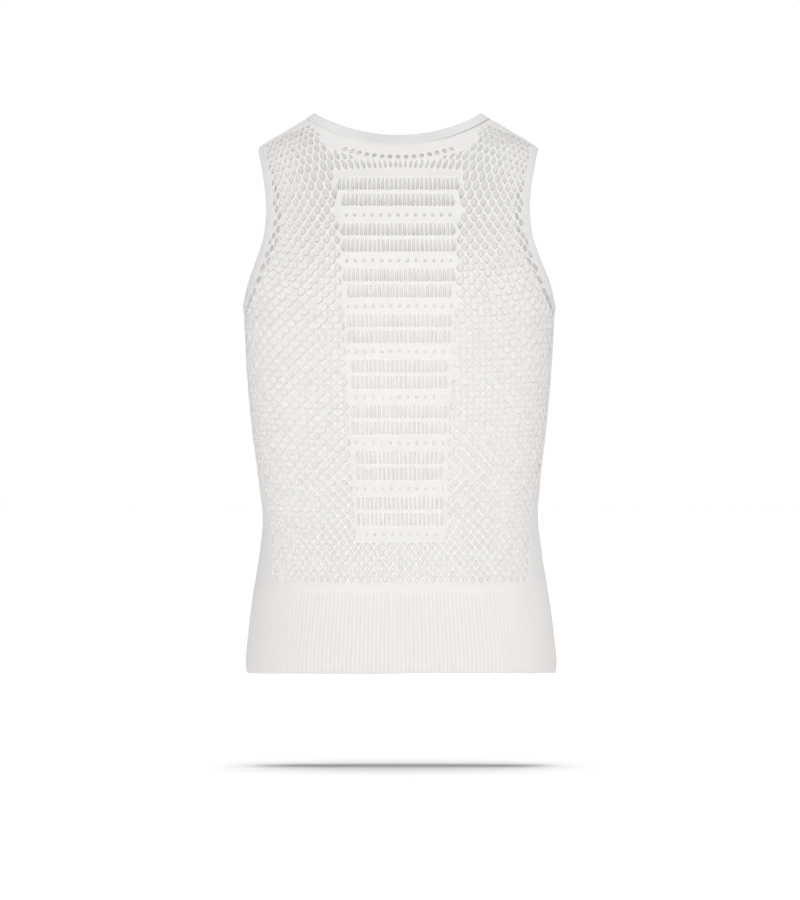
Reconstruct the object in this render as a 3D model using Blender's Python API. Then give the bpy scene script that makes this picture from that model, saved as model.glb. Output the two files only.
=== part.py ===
"""A sleeveless mesh base layer, filled out as it is worn.

Metres, +Z up. The wearer faces +Y, so the back of the garment lies towards -Y and
the wearer's right shoulder towards +X. The origin is midway between the two neck
points, where the shoulder lines meet the neckline, and level with them.

Every piece is a thin wall on one form, a stack of level ovals whose widths and
depths are given below. A place on the form has two coordinates: its turn, the angle
round the body from the middle of the back over the right side to the front, and its
height. The edges of the neck and armholes are closed loops of such places, the bands
are strips beside those loops, and the panels fill what the bands leave.
"""

import math

import bpy
import numpy as np

# Walls and seams
PANEL_THICKNESS = 0.0012
BAND_THICKNESS = 0.0018
HEM_THICKNESS = 0.0018
SEAM_GAP = 0.0003

# The form: level ovals from the hem up to the neck points
# height, middle's sideways shift, half width, depth of the back, depth of the front
FORM_OVALS = (
    (-0.610, 0.0040, 0.1676, 0.1125, 0.1065),
    (-0.603, 0.0039, 0.1690, 0.1130, 0.1070),
    (-0.564, 0.0038, 0.1657, 0.1070, 0.1040),
    (-0.520, 0.0035, 0.1600, 0.0980, 0.1000),
    (-0.480, 0.0035, 0.1536, 0.0940, 0.0970),
    (-0.440, 0.0030, 0.1497, 0.0930, 0.0955),
    (-0.400, 0.0021, 0.1533, 0.0950, 0.0970),
    (-0.335, 0.0016, 0.1611, 0.1000, 0.1040),
    (-0.270, 0.0017, 0.1664, 0.1050, 0.1120),
    (-0.222, 0.0019, 0.1690, 0.1080, 0.1155),
    (-0.185, 0.0017, 0.1720, 0.1085, 0.1140),
    (-0.150, 0.0010, 0.1696, 0.1070, 0.1090),
    (-0.111, 0.0006, 0.1662, 0.0990, 0.0990),
    (-0.080, 0.0004, 0.1648, 0.0900, 0.0890),
    (-0.060, 0.0005, 0.1627, 0.0830, 0.0810),
    (-0.047, 0.0004, 0.1590, 0.0770, 0.0750),
    (-0.0385, 0.0010, 0.1522, 0.0730, 0.0710),
    (-0.018, 0.0010, 0.1201, 0.0620, 0.0590),
    (0.000, 0.0000, 0.0899, 0.0500, 0.0460),
)
# How far the ovals bulge beyond a true ellipse, between the sides and the middles
OVAL_SQUARENESS = 0.18

# Neckline: its outer edge, seen from above an oval that dips at the back and front
NECK_HALF_WIDTH = 0.0899
BACK_NECK_DROP = 0.025
BACK_NECK_POWER = 1.8
FRONT_NECK_DROP = 0.035
FRONT_NECK_POWER = 1.4
NECK_BAND_WIDTH = 0.012

# Armhole: how far its outer edge is cut in from the full half width of the form
# height, cut at the back, cut at the front
ARMHOLE_CUTS = (
    (-0.0385, 0.0000, 0.0000),
    (-0.047, 0.0082, 0.0095),
    (-0.060, 0.0143, 0.0168),
    (-0.085, 0.0206, 0.0258),
    (-0.111, 0.0230, 0.0295),
    (-0.132, 0.0226, 0.0285),
    (-0.150, 0.0188, 0.0240),
    (-0.171, 0.0126, 0.0166),
    (-0.193, 0.0054, 0.0078),
    (-0.204, 0.0020, 0.0030),
    (-0.210, 0.0000, 0.0000),
)
ARMHOLE_BAND_WIDTH = 0.0095

# Hem: the ribbed band and the net above it
HEM_HEIGHT = -0.610
HEM_RIB_TOP = -0.5145

# Counts of facets, and of the finer samples that the edges are worked out from
NECK_COLUMNS = 10
STRAP_COLUMNS = 4
SIDE_ROWS = 9
ARMHOLE_ROWS = 16
HEM_ROWS = 5
BAND_STRIPS = 2
EDGE_SAMPLES = 241

# Heights at which the panels' rows start to bend towards neck and shoulders
BACK_ROWS_BEND_FROM = -0.130
FRONT_ROWS_BEND_FROM = -0.210

# How late, going up, the columns draw in from the sides towards the shoulder straps
GATHER_POWER = 3

CLOTH_COLOUR = (0.83, 0.82, 0.80, 1.0)
RIB_COLOUR = (0.84, 0.82, 0.80, 1.0)
CLOTH_ROUGHNESS = 0.85
SMOOTH_BELOW_ANGLE = math.radians(40)

QUARTER_TURN = math.pi / 2
HALF_COLUMNS = NECK_COLUMNS + STRAP_COLUMNS


def smooth_curve(places, values):
    """A curve through the given values that never overshoots them."""
    order = np.argsort(places)
    places = np.asarray(places, dtype=float)[order]
    values = np.asarray(values, dtype=float)[order]
    steps = np.diff(places)
    secants = np.diff(values) / steps
    slopes = np.zeros(len(places))
    slopes[0] = secants[0]
    slopes[-1] = secants[-1]
    for i in range(1, len(places) - 1):
        if secants[i - 1] * secants[i] > 0:
            before = 2 * steps[i] + steps[i - 1]
            after = steps[i] + 2 * steps[i - 1]
            slopes[i] = (before + after) / (before / secants[i - 1] + after / secants[i])

    def value_at(place):
        place = min(max(place, places[0]), places[-1])
        i = min(int(np.searchsorted(places, place, side="right")) - 1, len(steps) - 1)
        s = (place - places[i]) / steps[i]
        rise = values[i] * (1 + 2 * s) * (1 - s) ** 2 + values[i + 1] * s * s * (3 - 2 * s)
        lean = slopes[i] * s * (1 - s) ** 2 - slopes[i + 1] * s * s * (1 - s)
        return float(rise + steps[i] * lean)

    return value_at


def table_curve(table, column):
    """The smooth curve of one column of a table against its first column."""
    return smooth_curve([row[0] for row in table], [row[column] for row in table])


middle_shift = table_curve(FORM_OVALS, 1)
half_width = table_curve(FORM_OVALS, 2)
back_depth = table_curve(FORM_OVALS, 3)
front_depth = table_curve(FORM_OVALS, 4)
back_cut = table_curve(ARMHOLE_CUTS, 1)
front_cut = table_curve(ARMHOLE_CUTS, 2)


def form_point(turn, height):
    """The point of the form at a turn and a height."""
    depth = back_depth(height) if math.cos(turn) > 0 else front_depth(height)
    bulge = 1 + OVAL_SQUARENESS * math.sin(turn) ** 2
    x = middle_shift(height) + half_width(height) * math.sin(turn)
    return np.array((x, -depth * math.cos(turn) * bulge, height))


def form_slopes(turn, height):
    """How the point moves for each radian of turn and each metre of height."""
    small_turn = 1e-4
    small_height = 1e-5
    along_turn = form_point(turn + small_turn, height) - form_point(turn - small_turn, height)
    upper = min(height + small_height, 0.0)
    lower = upper - 2 * small_height
    along_height = form_point(turn, upper) - form_point(turn, lower)
    return along_turn / (2 * small_turn), along_height / (2 * small_height)


def form_normal(turn, height):
    """The outward direction of the form."""
    along_turn, along_height = form_slopes(turn, height)
    normal = np.cross(along_turn, along_height)
    return normal / np.linalg.norm(normal)


def evenly_spaced(path, count):
    """Places at equal distances along a path of places, both ends included."""
    points = [form_point(turn, height) for turn, height in path]
    lengths = [0.0]
    for start, end in zip(points, points[1:]):
        lengths.append(lengths[-1] + float(np.linalg.norm(end - start)))
    wanted = np.linspace(0.0, lengths[-1], count + 1)
    turns = np.interp(wanted, lengths, [turn for turn, height in path])
    heights = np.interp(wanted, lengths, [height for turn, height in path])
    return list(zip(turns, heights))


def moved_into_cloth(loop, distance):
    """A closed loop of places moved sideways over the form, away from its opening."""
    substeps = 4
    for _ in range(substeps):
        points = [form_point(turn, height) for turn, height in loop]
        moved = []
        for i, (turn, height) in enumerate(loop):
            ahead = points[(i + 1) % len(loop)] - points[i - 1]
            sideways = np.cross(ahead, form_normal(turn, height))
            sideways *= distance / substeps / np.linalg.norm(sideways)
            slopes = np.column_stack(form_slopes(turn, height))
            change = np.linalg.lstsq(slopes, sideways, rcond=None)[0]
            moved.append((turn + change[0], height + change[1]))
        loop = moved
    return loop


def armhole_loop():
    """The right armhole's edge: from the shoulder down the back and up the front."""
    top = ARMHOLE_CUTS[0][0]
    bottom = ARMHOLE_CUTS[-1][0]
    down_the_back = []
    up_the_front = []
    for angle in np.linspace(0.0, math.pi, EDGE_SAMPLES):
        height = (top + bottom) / 2 + (top - bottom) / 2 * math.cos(angle)
        back_share = 1 - back_cut(height) / half_width(height)
        front_share = 1 - front_cut(height) / half_width(height)
        down_the_back.append((math.asin(back_share), height))
        up_the_front.append((math.pi - math.asin(front_share), height))
    up_the_front.reverse()
    back_half = evenly_spaced(down_the_back, ARMHOLE_ROWS)
    front_half = evenly_spaced(up_the_front, ARMHOLE_ROWS)
    return back_half[:-1] + front_half[:-1]


def closed_by_mirror(right_half):
    """A loop round the neck from its right half, which runs from back to front."""
    half = [(0.0, right_half[0][1])] + right_half[1:-1] + [(math.pi, right_half[-1][1])]
    return half + [(2 * math.pi - turn, height) for turn, height in half[-2:0:-1]]


def neck_loop():
    """The neckline's edge: from the middle of the back round over the right shoulder."""
    quarter = []
    front_quarter = []
    for angle in np.linspace(0.0, QUARTER_TURN, EDGE_SAMPLES):
        x = NECK_HALF_WIDTH * math.sin(angle)
        back_height = -BACK_NECK_DROP * abs(math.cos(angle)) ** BACK_NECK_POWER
        front_height = -FRONT_NECK_DROP * abs(math.cos(angle)) ** FRONT_NECK_POWER
        back_turn = math.asin(min(x / half_width(back_height), 1.0))
        front_turn = math.asin(min(x / half_width(front_height), 1.0))
        quarter.append((back_turn, back_height))
        front_quarter.append((math.pi - front_turn, front_height))
    front_quarter.reverse()
    right_half = evenly_spaced(quarter, NECK_COLUMNS)[:-1]
    right_half += evenly_spaced(front_quarter, NECK_COLUMNS)
    return closed_by_mirror(right_half)


def mirrored(loop):
    """The same loop on the other side of the body."""
    return [(-turn, height) for turn, height in loop]


def blend(value, start, end):
    """A smooth step from 0 at start to 1 at end."""
    share = min(max((value - start) / (end - start), 0.0), 1.0)
    return share * share * (3 - 2 * share)


def panel_grid(neck_half, armhole_half, bend_from, middle_turn):
    """Rows of places, from the hem rib up, that fill the front or the back.

    The half edges hold a swing, the angle from the panel's middle, and a height.
    neck_half runs from the middle to the shoulder line, armhole_half from under the
    arm up to the shoulder line. The top row follows the neck and then the shoulder.
    """
    side_metres_per_radian = np.linalg.norm(form_slopes(QUARTER_TURN, HEM_RIB_TOP)[0])
    side_swing = QUARTER_TURN - SEAM_GAP / 2 / side_metres_per_radian
    tip_height = armhole_half[-1][1]
    neck_height = neck_half[-1][1]
    strap_heights = np.linspace(neck_height, tip_height, STRAP_COLUMNS + 1)[1:]
    top_row = list(neck_half[:-1]) + [(side_swing, neck_height)]
    top_row += [(side_swing, height) for height in strap_heights]
    top_x = [half_width(height) * math.sin(swing) for swing, height in top_row]

    under_arm = armhole_half[0][1]
    side_heights = np.linspace(HEM_RIB_TOP + SEAM_GAP, under_arm, SIDE_ROWS + 1)
    side_edge = [(side_swing, height) for height in side_heights]
    side_edge += list(armhole_half[1:-1]) + [(side_swing, tip_height)]

    grid = []
    for edge_swing, edge_height in side_edge[:-1]:
        edge_x = half_width(edge_height) * math.sin(edge_swing)
        bend = blend(edge_height, bend_from, tip_height)
        rise = (edge_height - under_arm) / (tip_height - under_arm)
        gather = max(rise, 0.0) ** GATHER_POWER
        half_row = []
        for i in range(HALF_COLUMNS):
            height = edge_height + bend * (top_row[i][1] - tip_height)
            low_share = math.sin(edge_swing * i / HALF_COLUMNS) / math.sin(edge_swing)
            top_share = top_x[i] / top_x[-1]
            x = edge_x * (low_share + (top_share - low_share) * gather)
            half_row.append((math.asin(x / half_width(height)), height))
        half_row.append((edge_swing, edge_height))
        grid.append(half_row)
    grid.append(top_row)

    rows = []
    for half_row in grid:
        left = [(middle_turn - swing, height) for swing, height in half_row[:0:-1]]
        right = [(middle_turn + swing, height) for swing, height in half_row]
        rows.append(left + right)
    return rows


def wall_points(place, thickness):
    """The outer and the inner point of a wall at a place."""
    point = form_point(*place)
    out = form_normal(*place) * thickness / 2
    return point + out, point - out


def cloth_material(name, colour):
    material = bpy.data.materials.new(name)
    material.use_nodes = True
    shader = material.node_tree.nodes["Principled BSDF"]
    shader.inputs["Base Color"].default_value = colour
    shader.inputs["Roughness"].default_value = CLOTH_ROUGHNESS
    shader.inputs["Metallic"].default_value = 0.0
    return material


def add_object(name, points, faces, colour):
    mesh = bpy.data.meshes.new(name)
    mesh.from_pydata([tuple(point) for point in points], [], faces)
    mesh.validate()
    mesh.shade_smooth()
    mesh.set_sharp_from_angle(angle=SMOOTH_BELOW_ANGLE)
    mesh.materials.append(cloth_material(name + "_cloth", colour))
    piece = bpy.data.objects.new(name, mesh)
    bpy.context.scene.collection.objects.link(piece)
    return piece


def add_panel(name, grid, thickness, colour):
    """A wall over a grid of places, closed along its four edges."""
    row_count = len(grid)
    column_count = len(grid[0])
    layer = row_count * column_count
    walls = [wall_points(place, thickness) for row in grid for place in row]
    points = [outer for outer, inner in walls] + [inner for outer, inner in walls]

    def index(row, column):
        return row * column_count + column

    faces = []
    for r in range(row_count - 1):
        for c in range(column_count - 1):
            corners = (index(r, c), index(r, c + 1), index(r + 1, c + 1), index(r + 1, c))
            faces.append(corners)
            faces.append(tuple(corner + layer for corner in reversed(corners)))
    rim = [index(0, c) for c in range(column_count)]
    rim += [index(r, column_count - 1) for r in range(1, row_count)]
    rim += [index(row_count - 1, c) for c in range(column_count - 2, -1, -1)]
    rim += [index(r, 0) for r in range(row_count - 2, 0, -1)]
    for i, start in enumerate(rim):
        end = rim[(i + 1) % len(rim)]
        faces.append((end, start, start + layer, end + layer))
    return add_object(name, points, faces, colour)


def add_band(name, lines, thickness, colour):
    """A closed strip over loops of places, given from the opening's edge inwards."""
    outer_first = [[wall_points(place, thickness) for place in line] for line in lines]
    count = len(lines[0])
    points = []
    for i in range(count):
        points += [line[i][0] for line in outer_first]
        points += [line[i][1] for line in reversed(outer_first)]
    around = 2 * len(lines)
    faces = []
    for i in range(count):
        here = i * around
        ahead = (i + 1) % count * around
        for k in range(around):
            after = (k + 1) % around
            faces.append((here + k, here + after, ahead + after, ahead + k))
    return add_object(name, points, faces, colour)


def band_lines(edge, width, strips):
    """The loops of a band, from the opening's edge to the panel's side."""
    return [moved_into_cloth(edge, width * i / strips) for i in range(strips + 1)]


def even_neck_line(line):
    """A line round the neck, made the same on both sides."""
    return closed_by_mirror(line[: 2 * NECK_COLUMNS + 1])


def build():
    for old in list(bpy.data.objects):
        bpy.data.objects.remove(old)

    armhole = armhole_loop()
    neck = neck_loop()
    armhole_panel_edge = moved_into_cloth(armhole, ARMHOLE_BAND_WIDTH + SEAM_GAP)
    neck_panel_edge = even_neck_line(moved_into_cloth(neck, NECK_BAND_WIDTH + SEAM_GAP))

    back_neck = neck_panel_edge[: NECK_COLUMNS + 1]
    back_armhole = armhole_panel_edge[ARMHOLE_ROWS::-1]
    back_grid = panel_grid(back_neck, back_armhole, BACK_ROWS_BEND_FROM, 0.0)
    add_panel("back_panel", back_grid, PANEL_THICKNESS, CLOTH_COLOUR)

    front_neck = neck_panel_edge[2 * NECK_COLUMNS: NECK_COLUMNS - 1: -1]
    front_armhole = armhole_panel_edge[ARMHOLE_ROWS:] + armhole_panel_edge[:1]
    front_neck = [(math.pi - turn, height) for turn, height in front_neck]
    front_armhole = [(math.pi - turn, height) for turn, height in front_armhole]
    front_grid = panel_grid(front_neck, front_armhole, FRONT_ROWS_BEND_FROM, math.pi)
    add_panel("front_panel", front_grid, PANEL_THICKNESS, CLOTH_COLOUR)

    neck_lines = [even_neck_line(line) for line in band_lines(neck, NECK_BAND_WIDTH, BAND_STRIPS)]
    add_band("neck_band", neck_lines, BAND_THICKNESS, RIB_COLOUR)

    armhole_lines = band_lines(armhole, ARMHOLE_BAND_WIDTH, BAND_STRIPS)
    add_band("armhole_band_right", armhole_lines, BAND_THICKNESS, RIB_COLOUR)
    left_lines = [mirrored(line)[::-1] for line in armhole_lines]
    add_band("armhole_band_left", left_lines, BAND_THICKNESS, RIB_COLOUR)

    turns = np.linspace(0.0, 2 * math.pi, 4 * HALF_COLUMNS, endpoint=False)
    heights = np.linspace(HEM_RIB_TOP, HEM_HEIGHT, HEM_ROWS + 1)
    hem_lines = [[(turn, height) for turn in turns] for height in heights]
    add_band("hem_rib", hem_lines, HEM_THICKNESS, RIB_COLOUR)


build()
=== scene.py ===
"""The looks of a sleeveless mesh base layer, filled out as it is worn.

Metres, +Z up. The wearer faces +Y and the camera sees the back, which lies towards
-Y. Every piece lies on one form, a stack of level ovals. A place on it has a turn,
the angle round the body from the middle of the back over the wearer's right side
(+X) to the front, and a height.

The back is a real net: its holes are laid out row by row, and the cloth between
them is filled in, given a thickness and rounded edges. Down its middle runs a plain
column with level rows of upright slots and round eyelets. The front is the same net
with thin cloth closing its holes. The hem is a tube of real ribs, and smooth bands
bind the neck and the armholes.
"""

import math

import bpy
import numpy as np
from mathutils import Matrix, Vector, kdtree
from mathutils.geometry import delaunay_2d_cdt


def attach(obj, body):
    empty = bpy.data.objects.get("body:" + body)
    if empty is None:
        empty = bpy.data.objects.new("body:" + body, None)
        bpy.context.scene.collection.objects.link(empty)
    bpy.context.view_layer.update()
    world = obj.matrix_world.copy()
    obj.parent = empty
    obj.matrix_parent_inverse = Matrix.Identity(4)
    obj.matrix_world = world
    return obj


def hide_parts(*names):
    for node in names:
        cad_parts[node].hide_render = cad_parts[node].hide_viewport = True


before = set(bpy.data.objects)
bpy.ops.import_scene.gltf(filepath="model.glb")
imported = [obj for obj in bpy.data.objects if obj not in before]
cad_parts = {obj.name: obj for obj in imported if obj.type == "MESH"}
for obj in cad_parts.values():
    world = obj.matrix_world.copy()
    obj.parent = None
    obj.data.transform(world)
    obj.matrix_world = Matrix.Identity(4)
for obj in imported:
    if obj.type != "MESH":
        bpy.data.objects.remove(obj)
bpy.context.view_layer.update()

QUARTER_TURN = math.pi / 2
HALF_TURN = math.pi

# The form: level ovals from the hem up to the neck points, each given by its height, its
# middle's sideways shift, half width, depth of the back and depth of the front
FORM_OVALS = (
    (-0.610, 0.0040, 0.1676, 0.1125, 0.1065),
    (-0.603, 0.0039, 0.1690, 0.1130, 0.1070),
    (-0.564, 0.0038, 0.1657, 0.1070, 0.1040),
    (-0.520, 0.0035, 0.1600, 0.0980, 0.1000),
    (-0.480, 0.0035, 0.1536, 0.0940, 0.0970),
    (-0.440, 0.0030, 0.1497, 0.0930, 0.0955),
    (-0.400, 0.0021, 0.1533, 0.0950, 0.0970),
    (-0.335, 0.0016, 0.1611, 0.1000, 0.1040),
    (-0.270, 0.0017, 0.1664, 0.1050, 0.1120),
    (-0.222, 0.0019, 0.1690, 0.1080, 0.1155),
    (-0.185, 0.0017, 0.1720, 0.1085, 0.1140),
    (-0.150, 0.0010, 0.1696, 0.1070, 0.1090),
    (-0.111, 0.0006, 0.1662, 0.0990, 0.0990),
    (-0.080, 0.0004, 0.1648, 0.0900, 0.0890),
    (-0.060, 0.0005, 0.1627, 0.0830, 0.0810),
    (-0.047, 0.0004, 0.1590, 0.0770, 0.0750),
    (-0.0385, 0.0010, 0.1522, 0.0730, 0.0710),
    (-0.018, 0.0010, 0.1201, 0.0620, 0.0590),
    (0.000, 0.0000, 0.0899, 0.0500, 0.0460),
)
# How much deeper than an oval the form is towards its sides
OVAL_SQUARENESS = 0.18

# Neckline and armholes
NECK_HALF_WIDTH = 0.0899
BACK_NECK_DROP = 0.025
BACK_NECK_POWER = 1.8
FRONT_NECK_DROP = 0.035
FRONT_NECK_POWER = 1.4
NECK_BAND_WIDTH = 0.012
ARMHOLE_CUTS = (  # height, cut at the back, cut at the front
    (-0.0385, 0.0000, 0.0000),
    (-0.047, 0.0082, 0.0095),
    (-0.060, 0.0143, 0.0168),
    (-0.085, 0.0206, 0.0258),
    (-0.111, 0.0230, 0.0295),
    (-0.132, 0.0226, 0.0285),
    (-0.150, 0.0188, 0.0240),
    (-0.171, 0.0126, 0.0166),
    (-0.193, 0.0054, 0.0078),
    (-0.204, 0.0020, 0.0030),
    (-0.210, 0.0000, 0.0000),
)
ARMHOLE_BAND_WIDTH = 0.0095
HEM_HEIGHT = -0.610
HEM_RIB_TOP = -0.5145

# The net's rows: the height of two of them together, by height
ROW_PERIODS = (
    (-0.530, 0.01155),
    (-0.455, 0.01150),
    (-0.411, 0.01200),
    (-0.367, 0.01300),
    (-0.313, 0.01310),
    (-0.204, 0.01420),
    (-0.149, 0.01530),
    (-0.089, 0.01690),
    (-0.056, 0.01650),
    (0.000, 0.01500),
)
FIRST_ROW = -0.5073
STRAP_MIDDLE = 0.12
# How much the rows rise towards the sides, by height
ROW_RISES = (
    (-0.530, 0.0020),
    (-0.507, 0.0030),
    (-0.443, 0.0045),
    (-0.363, 0.0050),
    (-0.297, 0.0045),
    (-0.258, 0.0070),
    (-0.204, 0.0105),
    (-0.155, 0.0110),
    (-0.113, 0.0040),
    (-0.090, 0.0000),
    (0.000, 0.0000),
)
# The net's columns: height, distance of the guide column from the middle, how many
# columns lie inside it, the column spacing at it, and the spacing out at the side
COLUMN_GUIDES = (
    (-0.530, 0.0829, 9.50, 0.0087, 0.0096),
    (-0.507, 0.0829, 9.50, 0.0088, 0.0098),
    (-0.4905, 0.0820, 9.50, 0.0090, 0.0104),
    (-0.4665, 0.0813, 9.50, 0.0096, 0.0115),
    (-0.4338, 0.0790, 7.40, 0.0113, 0.0130),
    (-0.400, 0.0785, 6.50, 0.0126, 0.0142),
    (-0.3628, 0.0824, 6.05, 0.0137, 0.0150),
    (-0.297, 0.0846, 5.95, 0.0144, 0.0150),
    (-0.2526, 0.0835, 5.90, 0.0144, 0.0152),
    (-0.209, 0.0813, 5.90, 0.0141, 0.0150),
    (-0.185, 0.0786, 6.20, 0.0131, 0.0130),
    (-0.1544, 0.0780, 6.80, 0.0118, 0.0104),
    (-0.1217, 0.0769, 7.00, 0.0112, 0.0094),
    (-0.1053, 0.0769, 7.40, 0.0110, 0.0086),
    (-0.0889, 0.0786, 8.60, 0.0104, 0.0078),
    (-0.0726, 0.0830, 13.00, 0.0093, 0.0070),
    (-0.0562, 0.0900, 13.00, 0.0077, 0.0066),
    (-0.0398, 0.0966, 13.00, 0.0068, 0.0066),
    (0.000, 0.1100, 13.00, 0.0062, 0.0064),
)
SIDE_SPACING_REACH = 0.08


def smooth_curve(places, values):
    """A curve through the given values that never overshoots them."""
    order = np.argsort(places)
    places = np.asarray(places, dtype=float)[order]
    values = np.asarray(values, dtype=float)[order]
    steps = np.diff(places)
    secants = np.diff(values) / steps
    slopes = np.zeros(len(places))
    slopes[0] = secants[0]
    slopes[-1] = secants[-1]
    for i in range(1, len(places) - 1):
        if secants[i - 1] * secants[i] > 0:
            before = 2 * steps[i] + steps[i - 1]
            after = steps[i] + 2 * steps[i - 1]
            slopes[i] = (before + after) / (before / secants[i - 1] + after / secants[i])

    def value_at(place):
        place = np.clip(place, places[0], places[-1])
        i = np.clip(np.searchsorted(places, place, side="right") - 1, 0, len(steps) - 1)
        s = (place - places[i]) / steps[i]
        rise = values[i] * (1 + 2 * s) * (1 - s) ** 2 + values[i + 1] * s * s * (3 - 2 * s)
        lean = slopes[i] * s * (1 - s) ** 2 - slopes[i + 1] * s * s * (1 - s)
        return rise + steps[i] * lean

    return value_at


def table_curve(table, column):
    """The smooth curve of one column of a table against its first column."""
    return smooth_curve([row[0] for row in table], [row[column] for row in table])


middle_shift = table_curve(FORM_OVALS, 1)
half_width = table_curve(FORM_OVALS, 2)
back_depth = table_curve(FORM_OVALS, 3)
front_depth = table_curve(FORM_OVALS, 4)
back_cut = table_curve(ARMHOLE_CUTS, 1)
front_cut = table_curve(ARMHOLE_CUTS, 2)
row_period = table_curve(ROW_PERIODS, 1)
row_rise = table_curve(ROW_RISES, 1)
guide_distance = table_curve(COLUMN_GUIDES, 1)
guide_count = table_curve(COLUMN_GUIDES, 2)
guide_spacing = table_curve(COLUMN_GUIDES, 3)
side_spacing = table_curve(COLUMN_GUIDES, 4)


def smooth_step(value, start, end):
    """0 before start, 1 after end, and a smooth rise between."""
    share = np.clip((value - start) / (end - start), 0.0, 1.0)
    return share * share * (3 - 2 * share)


# The steps over which slopes are measured
SMALL_TURN = 1e-4
SMALL_HEIGHT = 1e-5


def form_points(turns, heights):
    """The points of the form at many turns and heights."""
    turns = np.asarray(turns, dtype=float)
    heights = np.asarray(heights, dtype=float)
    depths = np.where(np.cos(turns) > 0, back_depth(heights), front_depth(heights))
    bulges = 1 + OVAL_SQUARENESS * np.sin(turns) ** 2
    x = middle_shift(heights) + half_width(heights) * np.sin(turns)
    y = -depths * np.cos(turns) * bulges
    return np.stack((x, y, heights + 0.0 * turns), axis=-1)


def on_form(places):
    """The points of the form at an array of places."""
    return form_points(places[:, 0], places[:, 1])


def slopes_at(places):
    """How the points move for each radian of turn and each metre of height."""
    turns, heights = places[:, 0], places[:, 1]
    ahead = form_points(turns + SMALL_TURN, heights)
    behind = form_points(turns - SMALL_TURN, heights)
    upper = np.minimum(heights + SMALL_HEIGHT, 0.0)
    lower = upper - 2 * SMALL_HEIGHT
    along_height = (form_points(turns, upper) - form_points(turns, lower)) / (2 * SMALL_HEIGHT)
    return (ahead - behind) / (2 * SMALL_TURN), along_height


def unit(vectors):
    """Vectors of the same directions and of length 1."""
    return vectors / np.linalg.norm(vectors, axis=-1, keepdims=True)


def normals_at(places):
    """The outward directions of the form at places."""
    along_turn, along_height = slopes_at(places)
    return unit(np.cross(along_turn, along_height))


def path_lengths(points):
    """The distance along a path to each of its points."""
    steps = np.linalg.norm(np.diff(points, axis=0), axis=1)
    return np.concatenate(([0.0], np.cumsum(steps)))


def level_lengths(turns, height):
    """The distance along a level line to each of its turns."""
    return path_lengths(form_points(turns, np.full(len(turns), height)))


def at_height(turns, height):
    """Places at turns and at one height."""
    return np.stack((turns, np.full(len(turns), height)), axis=1)


def at_lengths(wanted, lengths, path):
    """The places at wanted lengths along a path, from the lengths to its own places."""
    turns = np.interp(wanted, lengths, path[:, 0])
    heights = np.interp(wanted, lengths, path[:, 1])
    return np.stack((turns, heights), axis=1)


def evenly_spaced(path, count):
    """Places at equal distances along a path of places, both ends included."""
    lengths = path_lengths(on_form(path))
    return at_lengths(np.linspace(0.0, lengths[-1], count + 1), lengths, path)


# How many short steps a line is moved in
MOVE_STEPS = 4


def sideways_at(line, closed=True):
    """Unit vectors along the cloth to the right of a line of places, looking ahead.

    For an anticlockwise loop these point away from its inside.
    """
    points = on_form(line)
    if closed:
        ahead = np.roll(points, -1, axis=0) - np.roll(points, 1, axis=0)
    else:
        ahead = np.gradient(points, axis=0)
    return unit(np.cross(ahead, normals_at(line)))


def moved_into_cloth(loop, distance):
    """A closed loop of places moved sideways over the form, away from its opening."""
    for _ in range(MOVE_STEPS):
        loop = loop + place_changes(loop, sideways_at(loop) * distance / MOVE_STEPS)
    return loop


def place_changes(places, moves):
    """The changes of turn and height that move points of the form by small vectors."""
    along_turn, along_height = slopes_at(places)
    slopes = np.stack((along_turn, along_height), axis=-1)
    return np.einsum("nij,nj->ni", np.linalg.pinv(slopes), moves)


# Places on each half of an armhole and of the neckline, and on the fine lines that those
# are spaced along
ARMHOLE_SAMPLES = 64
NECK_SAMPLES = 48
EDGE_SAMPLES = 721


def mirrored(places, middle_turn):
    """Places on the other side of a turn, in reverse order."""
    flipped = places[::-1].copy()
    flipped[:, 0] = 2 * middle_turn - flipped[:, 0]
    return flipped


def to_front(places):
    """Places of the back moved round the side to the front, in reverse order."""
    return mirrored(places, QUARTER_TURN)


def side_line(shares, heights, count, on_front=False):
    """Even places at shares of the form's half width, in reverse order on the front."""
    places = np.stack((np.arcsin(shares), heights), axis=1)
    return evenly_spaced(to_front(places) if on_front else places, count)


def armhole_loop():
    """The right armhole's edge: from the shoulder down the back and up the front."""
    top = ARMHOLE_CUTS[0][0]
    bottom = ARMHOLE_CUTS[-1][0]
    angles = np.linspace(0.0, math.pi, EDGE_SAMPLES)
    heights = (top + bottom) / 2 + (top - bottom) / 2 * np.cos(angles)
    back_shares = 1 - back_cut(heights) / half_width(heights)
    front_shares = 1 - front_cut(heights) / half_width(heights)
    down_the_back = side_line(back_shares, heights, ARMHOLE_SAMPLES)
    up_the_front = side_line(front_shares, heights, ARMHOLE_SAMPLES, on_front=True)
    return np.concatenate((down_the_back[:-1], up_the_front[:-1]))


def closed_by_mirror(right_half):
    """A loop round the neck from its right half, which runs from back to front."""
    half = right_half.copy()
    half[0, 0] = 0.0
    half[-1, 0] = HALF_TURN
    return np.concatenate((half, mirrored(half[1:-1], HALF_TURN)))


def neck_loop():
    """The neckline's edge: from the middle of the back round over the right shoulder."""
    angles = np.linspace(0.0, QUARTER_TURN, EDGE_SAMPLES)
    x = NECK_HALF_WIDTH * np.sin(angles)
    level = np.abs(np.cos(angles))
    back_heights = -BACK_NECK_DROP * level ** BACK_NECK_POWER
    front_heights = -FRONT_NECK_DROP * level ** FRONT_NECK_POWER
    back_shares = np.minimum(x / half_width(back_heights), 1.0)
    front_shares = np.minimum(x / half_width(front_heights), 1.0)
    back = side_line(back_shares, back_heights, NECK_SAMPLES)
    front = side_line(front_shares, front_heights, NECK_SAMPLES, on_front=True)
    return closed_by_mirror(np.concatenate((back[:-1], front)))


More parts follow.
